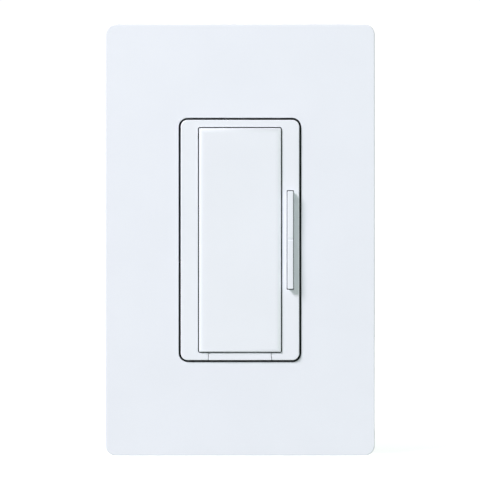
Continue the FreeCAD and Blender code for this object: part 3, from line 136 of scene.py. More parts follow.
def rolled_metal(name, light, dark, roughness, grain_mm, along=(1, 1, 14), relief_mm=0.004,
                 painted_shade_areas=()):
    """Sheet or drawn metal: fine lines from the rolls or the die, and faint cloudy handling marks.

    Each painted shade area is a half width, half height and depth in mm: what lies in it is darkened as
    painted shade.
    """
    material, tree, shader, mm = start_finish(name, {"Metallic": 1.0})
    squeezed = add(tree, "ShaderNodeVectorMath", {"operation": "DIVIDE", 1: along}, {0: mm})
    lines = add(tree, "ShaderNodeTexNoise", {"Scale": 1 / grain_mm, "Detail": 4.0, "Roughness": 0.6},
                {"Vector": squeezed.outputs["Vector"]})
    clouds = add(tree, "ShaderNodeTexNoise", {"Scale": 0.12, "Detail": 3.0}, {"Vector": mm})
    both = add(tree, "ShaderNodeMix", {"data_type": "FLOAT", "Factor": 0.55},
               {2: lines.outputs["Fac"], 3: clouds.outputs["Fac"]})
    tint = add(tree, "ShaderNodeValToRGB", links={"Fac": both.outputs[0]},
               stops=[(0.35, dark), (0.65, light)])
    bump = add(tree, "ShaderNodeBump", {"Strength": 0.5, "Distance": relief_mm * MM},
               {"Height": lines.outputs["Fac"]})
    colour = tint.outputs["Color"]
    # Painted shade: the areas given are darkened to the grey of a deep gap.
    for area in painted_shade_areas:
        colour = paint_gap_shade(tree, mm, colour, *area)
    tree.links.new(colour, shader.inputs["Base Color"])
    gloss = between(tree, both.outputs[0], roughness - 0.08, roughness + 0.1)
    tree.links.new(gloss, shader.inputs["Roughness"])
    tree.links.new(bump.outputs["Normal"], shader.inputs["Normal"])
    return material


def finish_piece(piece, material, body, slot_name, *nodes):
    """Gives a piece its material and body, and hides the CAD nodes that it stands for. slot_name is not
    used.
    """
    piece.data.materials.clear()
    piece.data.materials.append(material)
    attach(piece, body)
    if nodes:
        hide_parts(*nodes)


def piece_from(name, shape, smooth_below=40):
    """Object from finished mesh work, smooth except across edges sharper than the angle given."""
    mesh = bpy.data.meshes.new(name)
    shape.normal_update()
    for face in shape.faces:
        face.smooth = True
    for edge in shape.edges:
        edge.smooth = edge.calc_face_angle(0.0) < math.radians(smooth_below)
    shape.to_mesh(mesh)
    shape.free()
    piece = bpy.data.objects.new(name, mesh)
    bpy.context.scene.collection.objects.link(piece)
    return piece


def node_mesh(node):
    """Mesh work that starts from a CAD node's surface, its flat faces made whole again."""
    shape = bmesh.new()
    shape.from_mesh(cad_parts[node].data)
    bmesh.ops.remove_doubles(shape, verts=shape.verts, dist=WELD_MM * MM)
    bmesh.ops.dissolve_limit(shape, angle_limit=math.radians(FLAT_DEG), verts=shape.verts,
                             edges=shape.edges)
    return shape


def keep_flat(piece):
    """Shades large flat faces flat beside the rounded edges."""
    flat = piece.modifiers.new("flat faces stay flat", "WEIGHTED_NORMAL")
    flat.keep_sharp = True
    return piece


def round_edges(piece, width_mm, segments=2, above=32):
    """Breaks every edge sharper than the angle given."""
    bevel = piece.modifiers.new("broken edges", "BEVEL")
    bevel.width = width_mm * MM
    bevel.segments = segments
    bevel.limit_method = "ANGLE"
    bevel.angle_limit = math.radians(above)
    bevel.use_clamp_overlap = False
    return keep_flat(piece)


def softened(node, name, width_mm, segments=2):
    """Piece with a CAD node's shape and slightly rounded edges."""
    return round_edges(piece_from(name, node_mesh(node)), width_mm, segments)


stamped_aluminium = rolled_metal("rolled aluminium sheet", "#D3D6D8", "#B4B8BB", 0.36, 0.22,
                                 painted_shade_areas=[YOKE_PAINTED_SHADE])
finish_piece(softened("yoke", "yoke_strap", 0.1), stamped_aluminium, "housing", "aluminium", "yoke")

# ---------------------------------------------------------------------------------------------
# Triac on its thermal pad, clamped to the yoke by one screw, with three legs to the power board.
# Black moulded epoxy, dull from its filler, round a nickel-plated copper tab; grey silicone pad;
# zinc-plated screw with a faint bluish passivation.
# ---------------------------------------------------------------------------------------------


def moulded(name, light, dark, roughness, grain_mm, relief_mm, surface=None, painted_gap_shades=()):
    """Moulded part: an even colour, the fine etched grain of its mould, and a slightly uneven gloss.

    Each painted gap shade is a half width, half height and depth in mm: what lies in it is darkened
    to the grey of a deep gap, as painted shade.
    """
    values = {"IOR": 1.5}
    values.update(surface or {})
    material, tree, shader, mm = start_finish(name, values)
    grain = add(tree, "ShaderNodeTexNoise", {"Scale": 1 / grain_mm, "Detail": 3.0, "Roughness": 0.55},
                {"Vector": mm})
    flow = add(tree, "ShaderNodeTexNoise", {"Scale": 0.06, "Detail": 2.0}, {"Vector": mm})
    both = add(tree, "ShaderNodeMix", {"data_type": "FLOAT", "Factor": 0.6},
               {2: grain.outputs["Fac"], 3: flow.outputs["Fac"]})
    tint = add(tree, "ShaderNodeValToRGB", links={"Fac": both.outputs[0]},
               stops=[(0.3, dark), (0.7, light)])
    bump = add(tree, "ShaderNodeBump", {"Strength": 0.6, "Distance": relief_mm * MM},
               {"Height": grain.outputs["Fac"]})
    colour = tint.outputs["Color"]
    # Painted shade: the gap areas given are darkened.
    for gap in painted_gap_shades:
        colour = paint_gap_shade(tree, mm, colour, *gap)
    tree.links.new(colour, shader.inputs["Base Color"])
    gloss = between(tree, both.outputs[0], roughness - 0.06, roughness + 0.06)
    tree.links.new(gloss, shader.inputs["Roughness"])
    tree.links.new(bump.outputs["Normal"], shader.inputs["Normal"])
    return material


black_epoxy = moulded("filled black epoxy", "#26272A", "#1A1B1D", 0.58, 0.12, 0.006)
silicone_pad = moulded("silicone thermal pad", "#9DA1A7", "#8D9197", 0.62, 0.3, 0.004, {"IOR": 1.41})
plated_copper = rolled_metal("tinned copper leadframe", "#C3C3C0", "#A5A6A3", 0.3, 0.15)
zinc_plate = rolled_metal("zinc-plated steel", "#C6CBD1", "#A7ACB0", 0.3, 0.35, (1, 1, 1), 0.002)

finish_piece(softened("triac_pad", "triac_thermal_pad", 0.06), silicone_pad, "housing", "silicone",
             "triac_pad")
finish_piece(softened("triac_body", "triac_moulded_body", 0.18), black_epoxy, "housing", "black_epoxy",
             "triac_body")
finish_piece(softened("triac_tab", "triac_tab_and_legs", 0.07), plated_copper, "housing", "tinned_metal",
             "triac_tab")
finish_piece(softened("triac_screw", "triac_clamp_screw", 0.12), zinc_plate, "housing", "zinc_steel",
             "triac_screw")

# ---------------------------------------------------------------------------------------------
# Control board behind the yoke, its insulating sheet, the three press switches and the controller.
# Glass-epoxy under green solder mask, whose weave and copper tracks show as faint relief;
# the sheet is vulcanised fibre, dark and slightly mottled.
# ---------------------------------------------------------------------------------------------

TRACK_PITCH_MM = 2.54
TRACK_EDGE = 0.42
GLASS_WEAVE_MM = 0.5
WAVE_SCALE = 0.32


def solder_mask(name):
    """Green mask over glass cloth: tracks stand up a little and look lighter, the weave glints."""
    surface = {"IOR": 1.5, "Coat Weight": 0.3, "Coat Roughness": 0.12}
    material, tree, shader, mm = start_finish(name, surface)
    tracks = add(tree, "ShaderNodeTexVoronoi", {"Scale": 1 / TRACK_PITCH_MM, "distance": "CHEBYCHEV",
                                                "feature": "F1", "Randomness": 0.55}, {"Vector": mm})
    edge = add(tree, "ShaderNodeMath", {"operation": "GREATER_THAN", 1: TRACK_EDGE},
               {0: tracks.outputs["Distance"]})
    weave, across = [add(tree, "ShaderNodeTexWave", {"Scale": WAVE_SCALE / GLASS_WEAVE_MM, "Distortion": 0.6,
                                                     "wave_type": "BANDS", "bands_direction": way},
                         {"Vector": mm}) for way in ("X", "Z")]
    cloth = add(tree, "ShaderNodeMath", {"operation": "MULTIPLY"},
                {0: weave.outputs["Fac"], 1: across.outputs["Fac"]})
    height = add(tree, "ShaderNodeMath", {"operation": "MULTIPLY_ADD", 1: 0.25},
                 {0: cloth.outputs["Value"], 2: edge.outputs["Value"]})
    ground = add(tree, "ShaderNodeValToRGB", links={"Fac": cloth.outputs["Value"]},
                 stops=[(0.0, "#0F4A2A"), (1.0, "#175C35")])
    tint = add(tree, "ShaderNodeMix", {"data_type": "RGBA", "B": linear("#2B7F4B")},
               {"Factor": edge.outputs["Value"], "A": ground.outputs["Color"]})
    bump = add(tree, "ShaderNodeBump", {"Strength": 0.7, "Distance": 0.03 * MM},
               {"Height": height.outputs["Value"]})
    tree.links.new(tint.outputs["Result"], shader.inputs["Base Color"])
    tree.links.new(between(tree, cloth.outputs["Value"], 0.28, 0.4), shader.inputs["Roughness"])
    tree.links.new(bump.outputs["Normal"], shader.inputs["Normal"])
    return material


green_board = solder_mask("green solder mask on glass epoxy")
fibre = moulded("vulcanised fibre", "#3A332C", "#292420", 0.7, 0.25, 0.02)
switch_cap = moulded("press switch plunger resin", "#DEDAD0", "#CFCBC1", 0.42, 0.15, 0.003)

finish_piece(softened("insulator_sheet", "insulating_sheet", 0.03), fibre, "housing", "fibre",
             "insulator_sheet")
finish_piece(softened("control_board", "control_circuit_board", 0.08), green_board, "housing", "board_green",
             "control_board")
for node, name in (("tap_switch_body", "tap_switch_case"), ("rocker_switch_bodies", "rocker_switch_cases"),
                   ("controller_chip", "controller_package"), ("board_header", "board_to_board_header")):
    finish_piece(softened(node, name, 0.14), black_epoxy, "housing", "black_epoxy", node)
for node, body in (("tap_switch_plunger", "tap_plunger"), ("raise_switch_plunger", "raise_plunger"),
                   ("lower_switch_plunger", "lower_plunger")):
    finish_piece(softened(node, node.replace("switch_plunger", "switch_button"), 0.2), switch_cap, body,
                 "switch_plunger", node)

# ---------------------------------------------------------------------------------------------
# Power board with the air-gap contacts: brass pads riveted with silver tips.
# The pads are punched brass; the tips are pressed silver alloy, brighter and softer at the edge.
# ---------------------------------------------------------------------------------------------

brass = rolled_metal("bright rolled brass", "#D9B566", "#B8924A", 0.3, 0.18)
silver = rolled_metal("silver contact alloy", "#DEDCD6", "#C2C0B9", 0.25, 0.1, (1, 1, 1), 0.002)

finish_piece(softened("power_board", "power_circuit_board", 0.08), green_board, "housing", "board_green",
             "power_board")
finish_piece(softened("fixed_contacts", "fixed_contact_pads", 0.06), brass, "housing", "brass",
             "fixed_contacts")
finish_piece(softened("fixed_tips", "fixed_contact_tips", 0.12), silver, "housing", "silver", "fixed_tips")

# ---------------------------------------------------------------------------------------------
# Filter choke: a ring of pressed iron powder under yellow epoxy paint, wound with one layer of
# enamelled copper wire, turn beside turn, with a gap at its foot where both ends go to the board.
# ---------------------------------------------------------------------------------------------

CHOKE_WIRE_R = 0.43
CHOKE_TURNS = 22
CHOKE_GAP_DEG = 36
POINTS_PER_TURN = 20
CHOKE_RING_MM = 3.8
TURN_SQUARENESS = 5.0


def stitch(shape, rings):
    """Skin over a row of equal rings, closed at both ends."""
    sides = len(rings[0])
    for one, two in zip(rings, rings[1:]):
        for k in range(sides):
            j = (k + 1) % sides
            shape.faces.new((one[k], one[j], two[j], two[k]))
    shape.faces.new(rings[0][::-1])
    shape.faces.new(rings[-1])


def tube_along(shape, points, radius, sides=8):
    """Round tube along a line of points, closed at both ends."""
    rings = []
    across = Vector((0.3, 0.2, 0.93))
    for n, point in enumerate(points):
        way = (points[min(n + 1, len(points) - 1)] - points[max(n - 1, 0)]).normalized()
        across = (across - way * across.dot(way)).normalized()
        third = way.cross(across)
        ring = []
        for k in range(sides):
            turn = 2 * math.pi * k / sides
            spoke = across * math.cos(turn) + third * math.sin(turn)
            ring.append(shape.verts.new(point + spoke * radius))
        rings.append(ring)
    stitch(shape, rings)


def choke_line(core_low, core_high, board_back):
    """Middle line of the choke's wire, from one board hole round the core to the other."""
    middle = (core_low + core_high) / 2
    core_r = (core_high.x - core_low.x) / 2
    hole_r = core_r - CHOKE_RING_MM * MM
    wire = CHOKE_WIRE_R * MM
    ring_r = (core_r + hole_r) / 2
    half_wide = (core_r - hole_r) / 2 + wire
    half_deep = (core_high.y - core_low.y) / 2 + wire
    points = []
    span = 360 - CHOKE_GAP_DEG
    steps = CHOKE_TURNS * POINTS_PER_TURN
    for n in range(steps + 1):
        round_core = math.radians(-90 + CHOKE_GAP_DEG / 2 + span * n / steps)
        turn = 2 * math.pi * n / POINTS_PER_TURN - math.pi / 2
        c, s = math.cos(turn), math.sin(turn)
        reach = (abs(c) ** TURN_SQUARENESS + abs(s) ** TURN_SQUARENESS) ** (-1 / TURN_SQUARENESS)
        radial = ring_r + half_wide * c * reach
        points.append(Vector((middle.x + radial * math.cos(round_core), middle.y + half_deep * s * reach,
                              middle.z + radial * math.sin(round_core))))
    first, last = points[0].copy(), points[-1].copy()
    first.y = last.y = board_back
    return [first] + points + [last]


def enamelled_wire(name):
    """Copper under clear polyurethane enamel: warm, glossy, a little darker where the enamel is thick."""
    surface = {"Metallic": 1.0, "Coat Weight": 0.6, "Coat Roughness": 0.08}
    material, tree, shader, mm = start_finish(name, surface)
    streak = add(tree, "ShaderNodeTexNoise", {"Scale": 1.4, "Detail": 3.0}, {"Vector": mm})
    tint = add(tree, "ShaderNodeValToRGB", links={"Fac": streak.outputs["Fac"]},
               stops=[(0.35, "#9A4A22"), (0.65, "#C06A38")])
    tree.links.new(tint.outputs["Color"], shader.inputs["Base Color"])
    tree.links.new(between(tree, streak.outputs["Fac"], 0.22, 0.34), shader.inputs["Roughness"])
    return material


core_paint = moulded("yellow epoxy paint on powdered iron", "#D9CB62", "#C4B44E", 0.4, 0.6, 0.02)
finish_piece(softened("choke_core", "choke_ring_core", 0.35, 3), core_paint, "housing", "core_coat",
             "choke_core")

winding = bmesh.new()
tube_along(winding, choke_line(*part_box("choke_core"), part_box("power_board")[1].y), CHOKE_WIRE_R * MM)
copper_wire = enamelled_wire("enamelled copper wire")
finish_piece(piece_from("choke_wire_turns", winding, 60), copper_wire, "housing", "copper",
             "choke_winding")

# ---------------------------------------------------------------------------------------------
# Parts of the noise filter and of the low-voltage supply, soldered to the power board.
# Film capacitor in a yellow moulded box, electrolytic can in a plain dark sleeve with a
# recessed top, dipped blue varistor, lacquered resistor with end caps, and a moulded rectifier.
# ---------------------------------------------------------------------------------------------

CAN_CRIMP_MM = 0.35
LATHE_SIDES = 40


def lathe(shape, profile, origin, axis, sides=LATHE_SIDES):
    """Turned surface: profile points are (distance along the axis, radius), from end to end, in mm."""
    axis = Vector(axis).normalized()
    across = axis.orthogonal().normalized()
    third = axis.cross(across)
    rings = []
    for along, radius in profile:
        centre = Vector(origin) + axis * along * MM
        if radius == 0:
            rings.append([shape.verts.new(centre)])
            continue
        rings.append([shape.verts.new(centre + (across * math.cos(2 * math.pi * k / sides)
                                                + third * math.sin(2 * math.pi * k / sides)) * radius * MM)
                      for k in range(sides)])
    for one, two in zip(rings, rings[1:]):
        for k in range(sides):
            j = (k + 1) % sides
            if len(one) == 1:
                shape.faces.new((one[0], two[j], two[k]))
            elif len(two) == 1:
                shape.faces.new((one[k], one[j], two[0]))
            else:
                shape.faces.new((one[k], one[j], two[j], two[k]))


film_box = moulded("yellow flame-proof box", "#DBA52B", "#CB9522", 0.34, 0.2, 0.004)
finish_piece(softened("film_capacitor", "film_capacitor_box", 0.2), film_box, "housing", "film_yellow",
             "film_capacitor")

can_low, can_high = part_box("supply_capacitor")
can_r = (can_high.x - can_low.x) / 2 / MM
can_h = (can_high.y - can_low.y) / MM
can_foot = ((can_low.x + can_high.x) / 2, can_low.y, (can_low.z + can_high.z) / 2)
can = bmesh.new()
crimp = [(0, 0), (0, can_r - 0.7), (0.25, can_r - 0.15), (0.6, can_r), (1.5, can_r),
         (1.8, can_r - 0.12), (2.05, can_r - CAN_CRIMP_MM), (2.3, can_r - 0.12), (2.6, can_r)]
top = [(can_h - 0.5, can_r), (can_h - 0.15, can_r - 0.12), (can_h, can_r - 0.45), (can_h, can_r - 1.0),
       (can_h - 0.2, can_r - 1.1), (can_h - 0.2, 0)]
lathe(can, crimp + top, can_foot, (0, 1, 0))
can_sleeve = moulded("dark shrink sleeve", "#20242F", "#171A23", 0.3, 0.8, 0.006)
finish_piece(piece_from("supply_capacitor_can", can, 50), can_sleeve, "housing", "can_sleeve",
             "supply_capacitor")

disc_low, disc_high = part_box("surge_varistor")
disc_t = (disc_high.x - disc_low.x) / MM
disc_r = (disc_high.z - disc_low.z) / 2 / MM
disc_middle = Vector((disc_low.x, disc_high.y - disc_r * MM, (disc_low.z + disc_high.z) / 2))
disc = bmesh.new()
lens = [(0, 0), (0, disc_r * 0.5), (0.12 * disc_t, disc_r * 0.78), (0.26 * disc_t, disc_r * 0.94),
        (0.42 * disc_t, disc_r * 0.995), (0.5 * disc_t, disc_r), (0.58 * disc_t, disc_r * 0.995),
        (0.74 * disc_t, disc_r * 0.94), (0.88 * disc_t, disc_r * 0.78), (disc_t, disc_r * 0.5), (disc_t, 0)]
lathe(disc, lens, disc_middle, (1, 0, 0))
leg_x = disc_low.x + disc_t / 2 * MM
for side in (-1, 1):
    leg_z = disc_middle.z + side * disc_r / 2 * MM
    lathe(disc, [(0, 0), (0, 0.35), (0.6, 0.35), (0.9, 0.42), (1.6, 0.8), (2.2, 0.9), (2.2, 0)],
          (leg_x, disc_low.y, leg_z), (0, 1, 0), 12)
dipped_blue = moulded("dipped blue epoxy", "#2A55A0", "#1F4488", 0.28, 0.9, 0.02)
finish_piece(piece_from("varistor_disc", disc, 50), dipped_blue, "housing", "varistor_blue",
             "surge_varistor")

RESISTOR_BAND_MM = 1.5
ROD_R_MM = 1.7
LEAD_R_MM = 0.35


def banded_lacquer(name, along_x_mm):
    """Tan lacquer with plain colour rings, sprayed over a ceramic rod."""
    material, tree, shader, mm = start_finish(name, {"IOR": 1.5, "Coat Weight": 0.4, "Coat Roughness": 0.1})
    parts = add(tree, "ShaderNodeSeparateXYZ", links={0: mm})
    along = add(tree, "ShaderNodeMath", {"operation": "SUBTRACT", 1: along_x_mm}, {0: parts.outputs["X"]})
    rings = add(tree, "ShaderNodeMath", {"operation": "PINGPONG", 1: RESISTOR_BAND_MM / 2},
                {0: along.outputs["Value"]})
    ring = add(tree, "ShaderNodeMath", {"operation": "LESS_THAN", 1: 0.22}, {0: rings.outputs["Value"]})
    wear = add(tree, "ShaderNodeTexNoise", {"Scale": 1.1, "Detail": 3.0}, {"Vector": mm})
    ground = add(tree, "ShaderNodeValToRGB", links={"Fac": wear.outputs["Fac"]},
                 stops=[(0.3, "#BFA277"), (0.7, "#CFB58B")])
    tint = add(tree, "ShaderNodeMix", {"data_type": "RGBA", "B": linear("#5A3A22")},
               {"Factor": ring.outputs["Value"], "A": ground.outputs["Color"]})
    tree.links.new(tint.outputs["Result"], shader.inputs["Base Color"])
    tree.links.new(between(tree, wear.outputs["Fac"], 0.25, 0.38), shader.inputs["Roughness"])
    return material


rod_low, rod_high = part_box("fuse_resistor")
rod_x = (rod_low.x + rod_high.x) / 2
rod_y = rod_high.y - ROD_R_MM * MM
rod_z = (rod_low.z + rod_high.z) / 2
resistor = bmesh.new()
caps = [(-4.5, 0), (-4.5, 0.9), (-4.2, 1.5), (-3.7, ROD_R_MM), (-2.9, 1.68), (-2.4, 1.45), (0, 1.42)]
lathe(resistor, caps + [(-a, r) for a, r in reversed(caps[:-1])], (rod_x, rod_y, rod_z), (1, 0, 0), 24)
for side in (-1, 1):
    bend = [Vector((rod_x + side * 4.3 * MM, rod_y, rod_z)),
            Vector((rod_x + side * 5.8 * MM, rod_y, rod_z)),
            Vector((rod_x + side * 6.25 * MM, rod_y - 0.15 * MM, rod_z)),
            Vector((rod_x + side * 6.4 * MM, rod_y - 0.6 * MM, rod_z)),
            Vector((rod_x + side * 6.4 * MM, rod_low.y, rod_z))]
    tube_along(resistor, bend, LEAD_R_MM * MM, 10)
lacquer = banded_lacquer("tan resistor lacquer", rod_x / MM)
finish_piece(piece_from("fusible_resistor_rod", resistor, 50), lacquer, "housing", "resistor_tan",
             "fuse_resistor")
finish_piece(softened("bridge_rectifier", "rectifier_block", 0.3), black_epoxy, "housing", "black_epoxy",
             "bridge_rectifier")

# ---------------------------------------------------------------------------------------------
# Wire terminals in the cover's side pockets: a brass plate, a loose square clamp of zinc-plated
# steel and a brass 6-32 screw with a slot. The thread is rolled, so its crests are blunt.
# ---------------------------------------------------------------------------------------------

THREAD_R_MM = 1.75
THREAD_ROOT_MM = 1.33
THREAD_PITCH_MM = 0.794
THREAD_STEPS = 6
THREAD_SIDES = 24
CREST_FLATTENING = 1.35
TIP_SHARE = 0.62
HEAD_CUT_MM = 0.02
HEAD_LAP_MM = 0.05
TERMINAL_HEAD_MM = 2.2


def rolled_thread(shape, start, end, tip_mm=0.8, plain_mm=0.6):
    """Threaded shank from start to end, plain where it leaves the head and tapered at its tip."""
    start, end = Vector(start), Vector(end)
    length = (end - start).length / MM
    axis = (end - start).normalized()
    across = axis.orthogonal().normalized()
    third = axis.cross(across)
    count = max(4, round(length / THREAD_PITCH_MM * THREAD_STEPS))
    rings = []
    for n in range(count + 1):
        along = length * n / count
        ring = []
        for k in range(THREAD_SIDES):
            turn = k / THREAD_SIDES
            phase = (along / THREAD_PITCH_MM - turn) % 1.0
            crest = min(1.0, (1 - abs(2 * phase - 1)) * CREST_FLATTENING)
            fade = min(1.0, max(0.0, (along - plain_mm) / THREAD_PITCH_MM))
            radius = THREAD_ROOT_MM + (THREAD_R_MM - THREAD_ROOT_MM) * crest * fade
            left = (length - along) / tip_mm
            if left < 1:
                radius *= TIP_SHARE + (1 - TIP_SHARE) * left
            place = across * math.cos(2 * math.pi * turn) + third * math.sin(2 * math.pi * turn)
            ring.append(shape.verts.new(start + axis * along * MM + place * radius * MM))
        rings.append(ring)
    stitch(shape, rings)


def head_only(node, cut, outward):
    """A screw's head from its CAD node, cut off square where the shank starts."""
    shape = node_mesh(node)
    everything = shape.verts[:] + shape.edges[:] + shape.faces[:]
    sliced = bmesh.ops.bisect_plane(shape, geom=everything, dist=0.0001 * MM, plane_co=cut,
                                    plane_no=-Vector(outward), clear_outer=True)
    rims = [item for item in sliced["geom_cut"] if isinstance(item, bmesh.types.BMEdge)]
    bmesh.ops.holes_fill(shape, edges=rims)
    return shape


def screw_piece(name, node, cut, outward, shanks, edge_mm=0.15):
    """Screw or pair of screws: heads from the CAD node with softened edges, shanks with real threads."""
    head = round_edges(piece_from(name + "_head", head_only(node, cut, outward)), edge_mm)
    graph = bpy.context.evaluated_depsgraph_get()
    shape = bmesh.new()
    shape.from_mesh(head.evaluated_get(graph).to_mesh())
    bpy.data.objects.remove(head)
    for start, end in shanks:
        rolled_thread(shape, start, end)
    return piece_from(name, shape, 42)


def screw_pair(name, node, head_r_mm, head_mm, edge_mm=0.15):
    """Two equal screws, one above the other, driven in from the front."""
    low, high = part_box(node)
    level = high.z - head_r_mm * MM
    seat = low.y + head_mm * MM
    shanks = [((0, seat - HEAD_LAP_MM * MM, z), (0, high.y, z)) for z in (level, -level)]
    return screw_piece(name, node, (0, seat - HEAD_CUT_MM * MM, 0), (0, -1, 0), shanks, edge_mm)


finish_piece(softened("terminal_plates", "terminal_brass_plates", 0.08), brass, "housing", "brass",
             "terminal_plates")
finish_piece(softened("wire_clamps", "wire_clamp_plates", 0.12), zinc_plate, "housing", "zinc_steel",
             "wire_clamps")
for node in ("line_terminal_screw", "load_terminal_screw", "remote_terminal_screw"):
    low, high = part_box(node)
    side = 1 if low.x > 0 else -1
    head_face, tip = (high.x, low.x) if side > 0 else (low.x, high.x)
    seat = head_face - side * TERMINAL_HEAD_MM * MM
    middle_y, middle_z = (low.y + high.y) / 2, (low.z + high.z) / 2
    shank = ((seat + side * HEAD_LAP_MM * MM, middle_y, middle_z), (tip, middle_y, middle_z))
    cut = (seat + side * HEAD_CUT_MM * MM, 0, 0)
    screw = screw_piece(node + "_brass", node, cut, (side, 0, 0), [shank], 0.25)
    finish_piece(screw, brass, "housing", "brass", node)

# ---------------------------------------------------------------------------------------------
# Back cover: a deep box moulded in dark grey thermoset, with a fine spark-eroded texture, pockets
# for the terminals and a shallow blank panel where a rating plate would be printed.
# Four small screws pull it to the yoke.
# ---------------------------------------------------------------------------------------------

dark_thermoset = moulded("dark textured thermoset", "#3B3D41", "#2D2F32", 0.55, 0.35, 0.03)
finish_piece(softened("back_cover", "moulded_back_cover", 0.16), dark_thermoset, "housing", "dark_cover",
             "back_cover")
finish_piece(softened("cover_screws", "back_cover_screws", 0.14), zinc_plate, "housing", "zinc_steel",
             "cover_screws")

# ---------------------------------------------------------------------------------------------
# Ground screw in the ear lanced from the yoke: a hex washer-head screw, zinc-plated and dyed green,
# the dye worn thin on its corners.
# ---------------------------------------------------------------------------------------------

GROUND_HEAD_MM = 3.0


def green_dye(name):
    """Green dye over zinc plate: a coloured metal, paler where the dye is thin."""
    material, tree, shader, mm = start_finish(name, {"Metallic": 0.75, "Coat Weight": 0.25,
                                                     "Coat Roughness": 0.2})
    worn = add(tree, "ShaderNodeTexNoise", {"Scale": 0.9, "Detail": 5.0, "Roughness": 0.65}, {"Vector": mm})
    tint = add(tree, "ShaderNodeValToRGB", links={"Fac": worn.outputs["Fac"]},
               stops=[(0.32, "#1C6A3B"), (0.72, "#3E9A5E")])
    tree.links.new(tint.outputs["Color"], shader.inputs["Base Color"])
    tree.links.new(between(tree, worn.outputs["Fac"], 0.3, 0.45), shader.inputs["Roughness"])
    return material


ground_low, ground_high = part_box("ground_screw")
ground_y, ground_z = (ground_low.y + ground_high.y) / 2, (ground_low.z + ground_high.z) / 2
ground_face = ground_low.x + GROUND_HEAD_MM * MM
ground_shank = ((ground_face - HEAD_LAP_MM * MM, ground_y, ground_z), (ground_high.x, ground_y, ground_z))
ground_screw = screw_piece("ground_hex_screw", "ground_screw", (ground_face - HEAD_CUT_MM * MM, 0, 0),
                           (-1, 0, 0), [ground_shank])
finish_piece(ground_screw, green_dye("green-dyed zinc plate"), "housing", "green_paint", "ground_screw")

# ---------------------------------------------------------------------------------------------
# Box screws: two long 6-32 steel screws, pan head with a cross recess, held in the yoke's slots by
# squares of vulcanised fibre until the dimmer is fixed to its wall box.
# ---------------------------------------------------------------------------------------------

BOX_HEAD_R_MM = 3.2
BOX_HEAD_MM = 2.1

box_screws = screw_pair("box_mounting_screws", "box_screws", BOX_HEAD_R_MM, BOX_HEAD_MM)
finish_piece(box_screws, zinc_plate, "housing", "zinc_steel", "box_screws")
finish_piece(softened("screw_retainers", "fibre_screw_retainers", 0.05), fibre, "housing", "fibre",
             "screw_retainers")

# ---------------------------------------------------------------------------------------------
# Button carrier on the front of the yoke, with the ears that the paddle and the rocker turn in.
# Its dark grey is painted shade, so that the gaps round the white face pieces read as fine even lines.
# ---------------------------------------------------------------------------------------------

carrier_grey = moulded("nylon carrier in painted gap shade", "#2C2E31", "#232528", 0.55, 0.3, 0.01)
finish_piece(softened("button_carrier", "hinge_carrier", 0.1), carrier_grey, "housing", "carrier_grey",
             "button_carrier")

# ---------------------------------------------------------------------------------------------
# Service switch: the tab in the bezel's lower bar is pulled out 3 mm to lift a copper bridge off
# two contacts. White polycarbonate with crisp but not sharp edges; the bridge is rolled copper
# with riveted silver tips.
# ---------------------------------------------------------------------------------------------

SATIN_WHITE = ("#EFF3F8", "#ECF0F5", 0.34, 0.22, 0.004, {"IOR": 1.55})
pull_white = moulded("satin white polycarbonate pull", *SATIN_WHITE)
rolled_copper = rolled_metal("rolled copper strip", "#D08A62", "#B06A44", 0.3, 0.15)
finish_piece(softened("service_tab", "service_pull_tab", 0.14, 3), pull_white, "service_pull", "face_white",
             "service_tab")
finish_piece(softened("air_gap_blade", "air_gap_bridge", 0.06), rolled_copper, "service_pull", "copper",
             "air_gap_blade")
finish_piece(softened("blade_tips", "bridge_contact_tips", 0.12), silver, "service_pull", "silver",
             "blade_tips")

# ---------------------------------------------------------------------------------------------
# Tap paddle: a hollow moulding hinged near its top, of the same satin white polycarbonate as the
# rest of the face. Its face falls away gently towards its edges, most steeply at its foot.
# ---------------------------------------------------------------------------------------------

# Painted shade: whatever of the paddle and the rocker lies deeper than the bezel's front is darkened like
# the gaps round them.
FACE_PAINTED_SHADE = (20, 40, -8.3)
PADDLE_FACE_MM = 0.45
CROWN_WIDE_MM = 1.5
CROWN_DROP_MM = 0.33
CROWN_STEPS = 7
CROWN_POWER = 2.2
LOWER_CROWN_SHARE = 0.6
EDGE_R_MM = 0.14
EDGE_STEPS = 3

face_white = moulded("satin white polycarbonate face", *SATIN_WHITE, [FACE_PAINTED_SHADE])
paddle_low, paddle_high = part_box("tap_paddle")
paddle_half_high = (paddle_high.z - paddle_low.z) / 2
paddle_shape = node_mesh("tap_paddle")
face_edge = paddle_low.y + (PADDLE_FACE_MM - WELD_MM) * MM
bmesh.ops.delete(paddle_shape, geom=[v for v in paddle_shape.verts if v.co.y < face_edge])
paddle_half_wide = max(v.co.x for v in paddle_shape.verts if v.is_boundary)
rows = []
for n in range(EDGE_STEPS + 1):
    turn = math.pi / 2 * n / EDGE_STEPS
    rows.append((EDGE_R_MM * (1 - math.cos(turn)), CROWN_DROP_MM + EDGE_R_MM * (1 - math.sin(turn))))
for n in range(1, CROWN_STEPS + 1):
    inset = EDGE_R_MM + (CROWN_WIDE_MM - EDGE_R_MM) * n / CROWN_STEPS
    rows.append((inset, CROWN_DROP_MM * (1 - n / CROWN_STEPS) ** CROWN_POWER))
rim = [edge for edge in paddle_shape.edges if edge.is_boundary]
for number, (inset, drop) in enumerate(rows):
    if number:
        made = bmesh.ops.extrude_edge_only(paddle_shape, edges=rim)["geom"]
        rim = [item for item in made if isinstance(item, bmesh.types.BMEdge) and item.is_boundary]
    for vertex in {v for edge in rim for v in edge.verts}:
        share = LOWER_CROWN_SHARE if vertex.co.z < 0 else 1.0
        for axis, half in ((0, paddle_half_wide - inset * MM), (2, paddle_half_high - inset * share * MM)):
            vertex.co[axis] = math.copysign(min(abs(vertex.co[axis]), half), vertex.co[axis])
        vertex.co.y = paddle_low.y + drop * MM
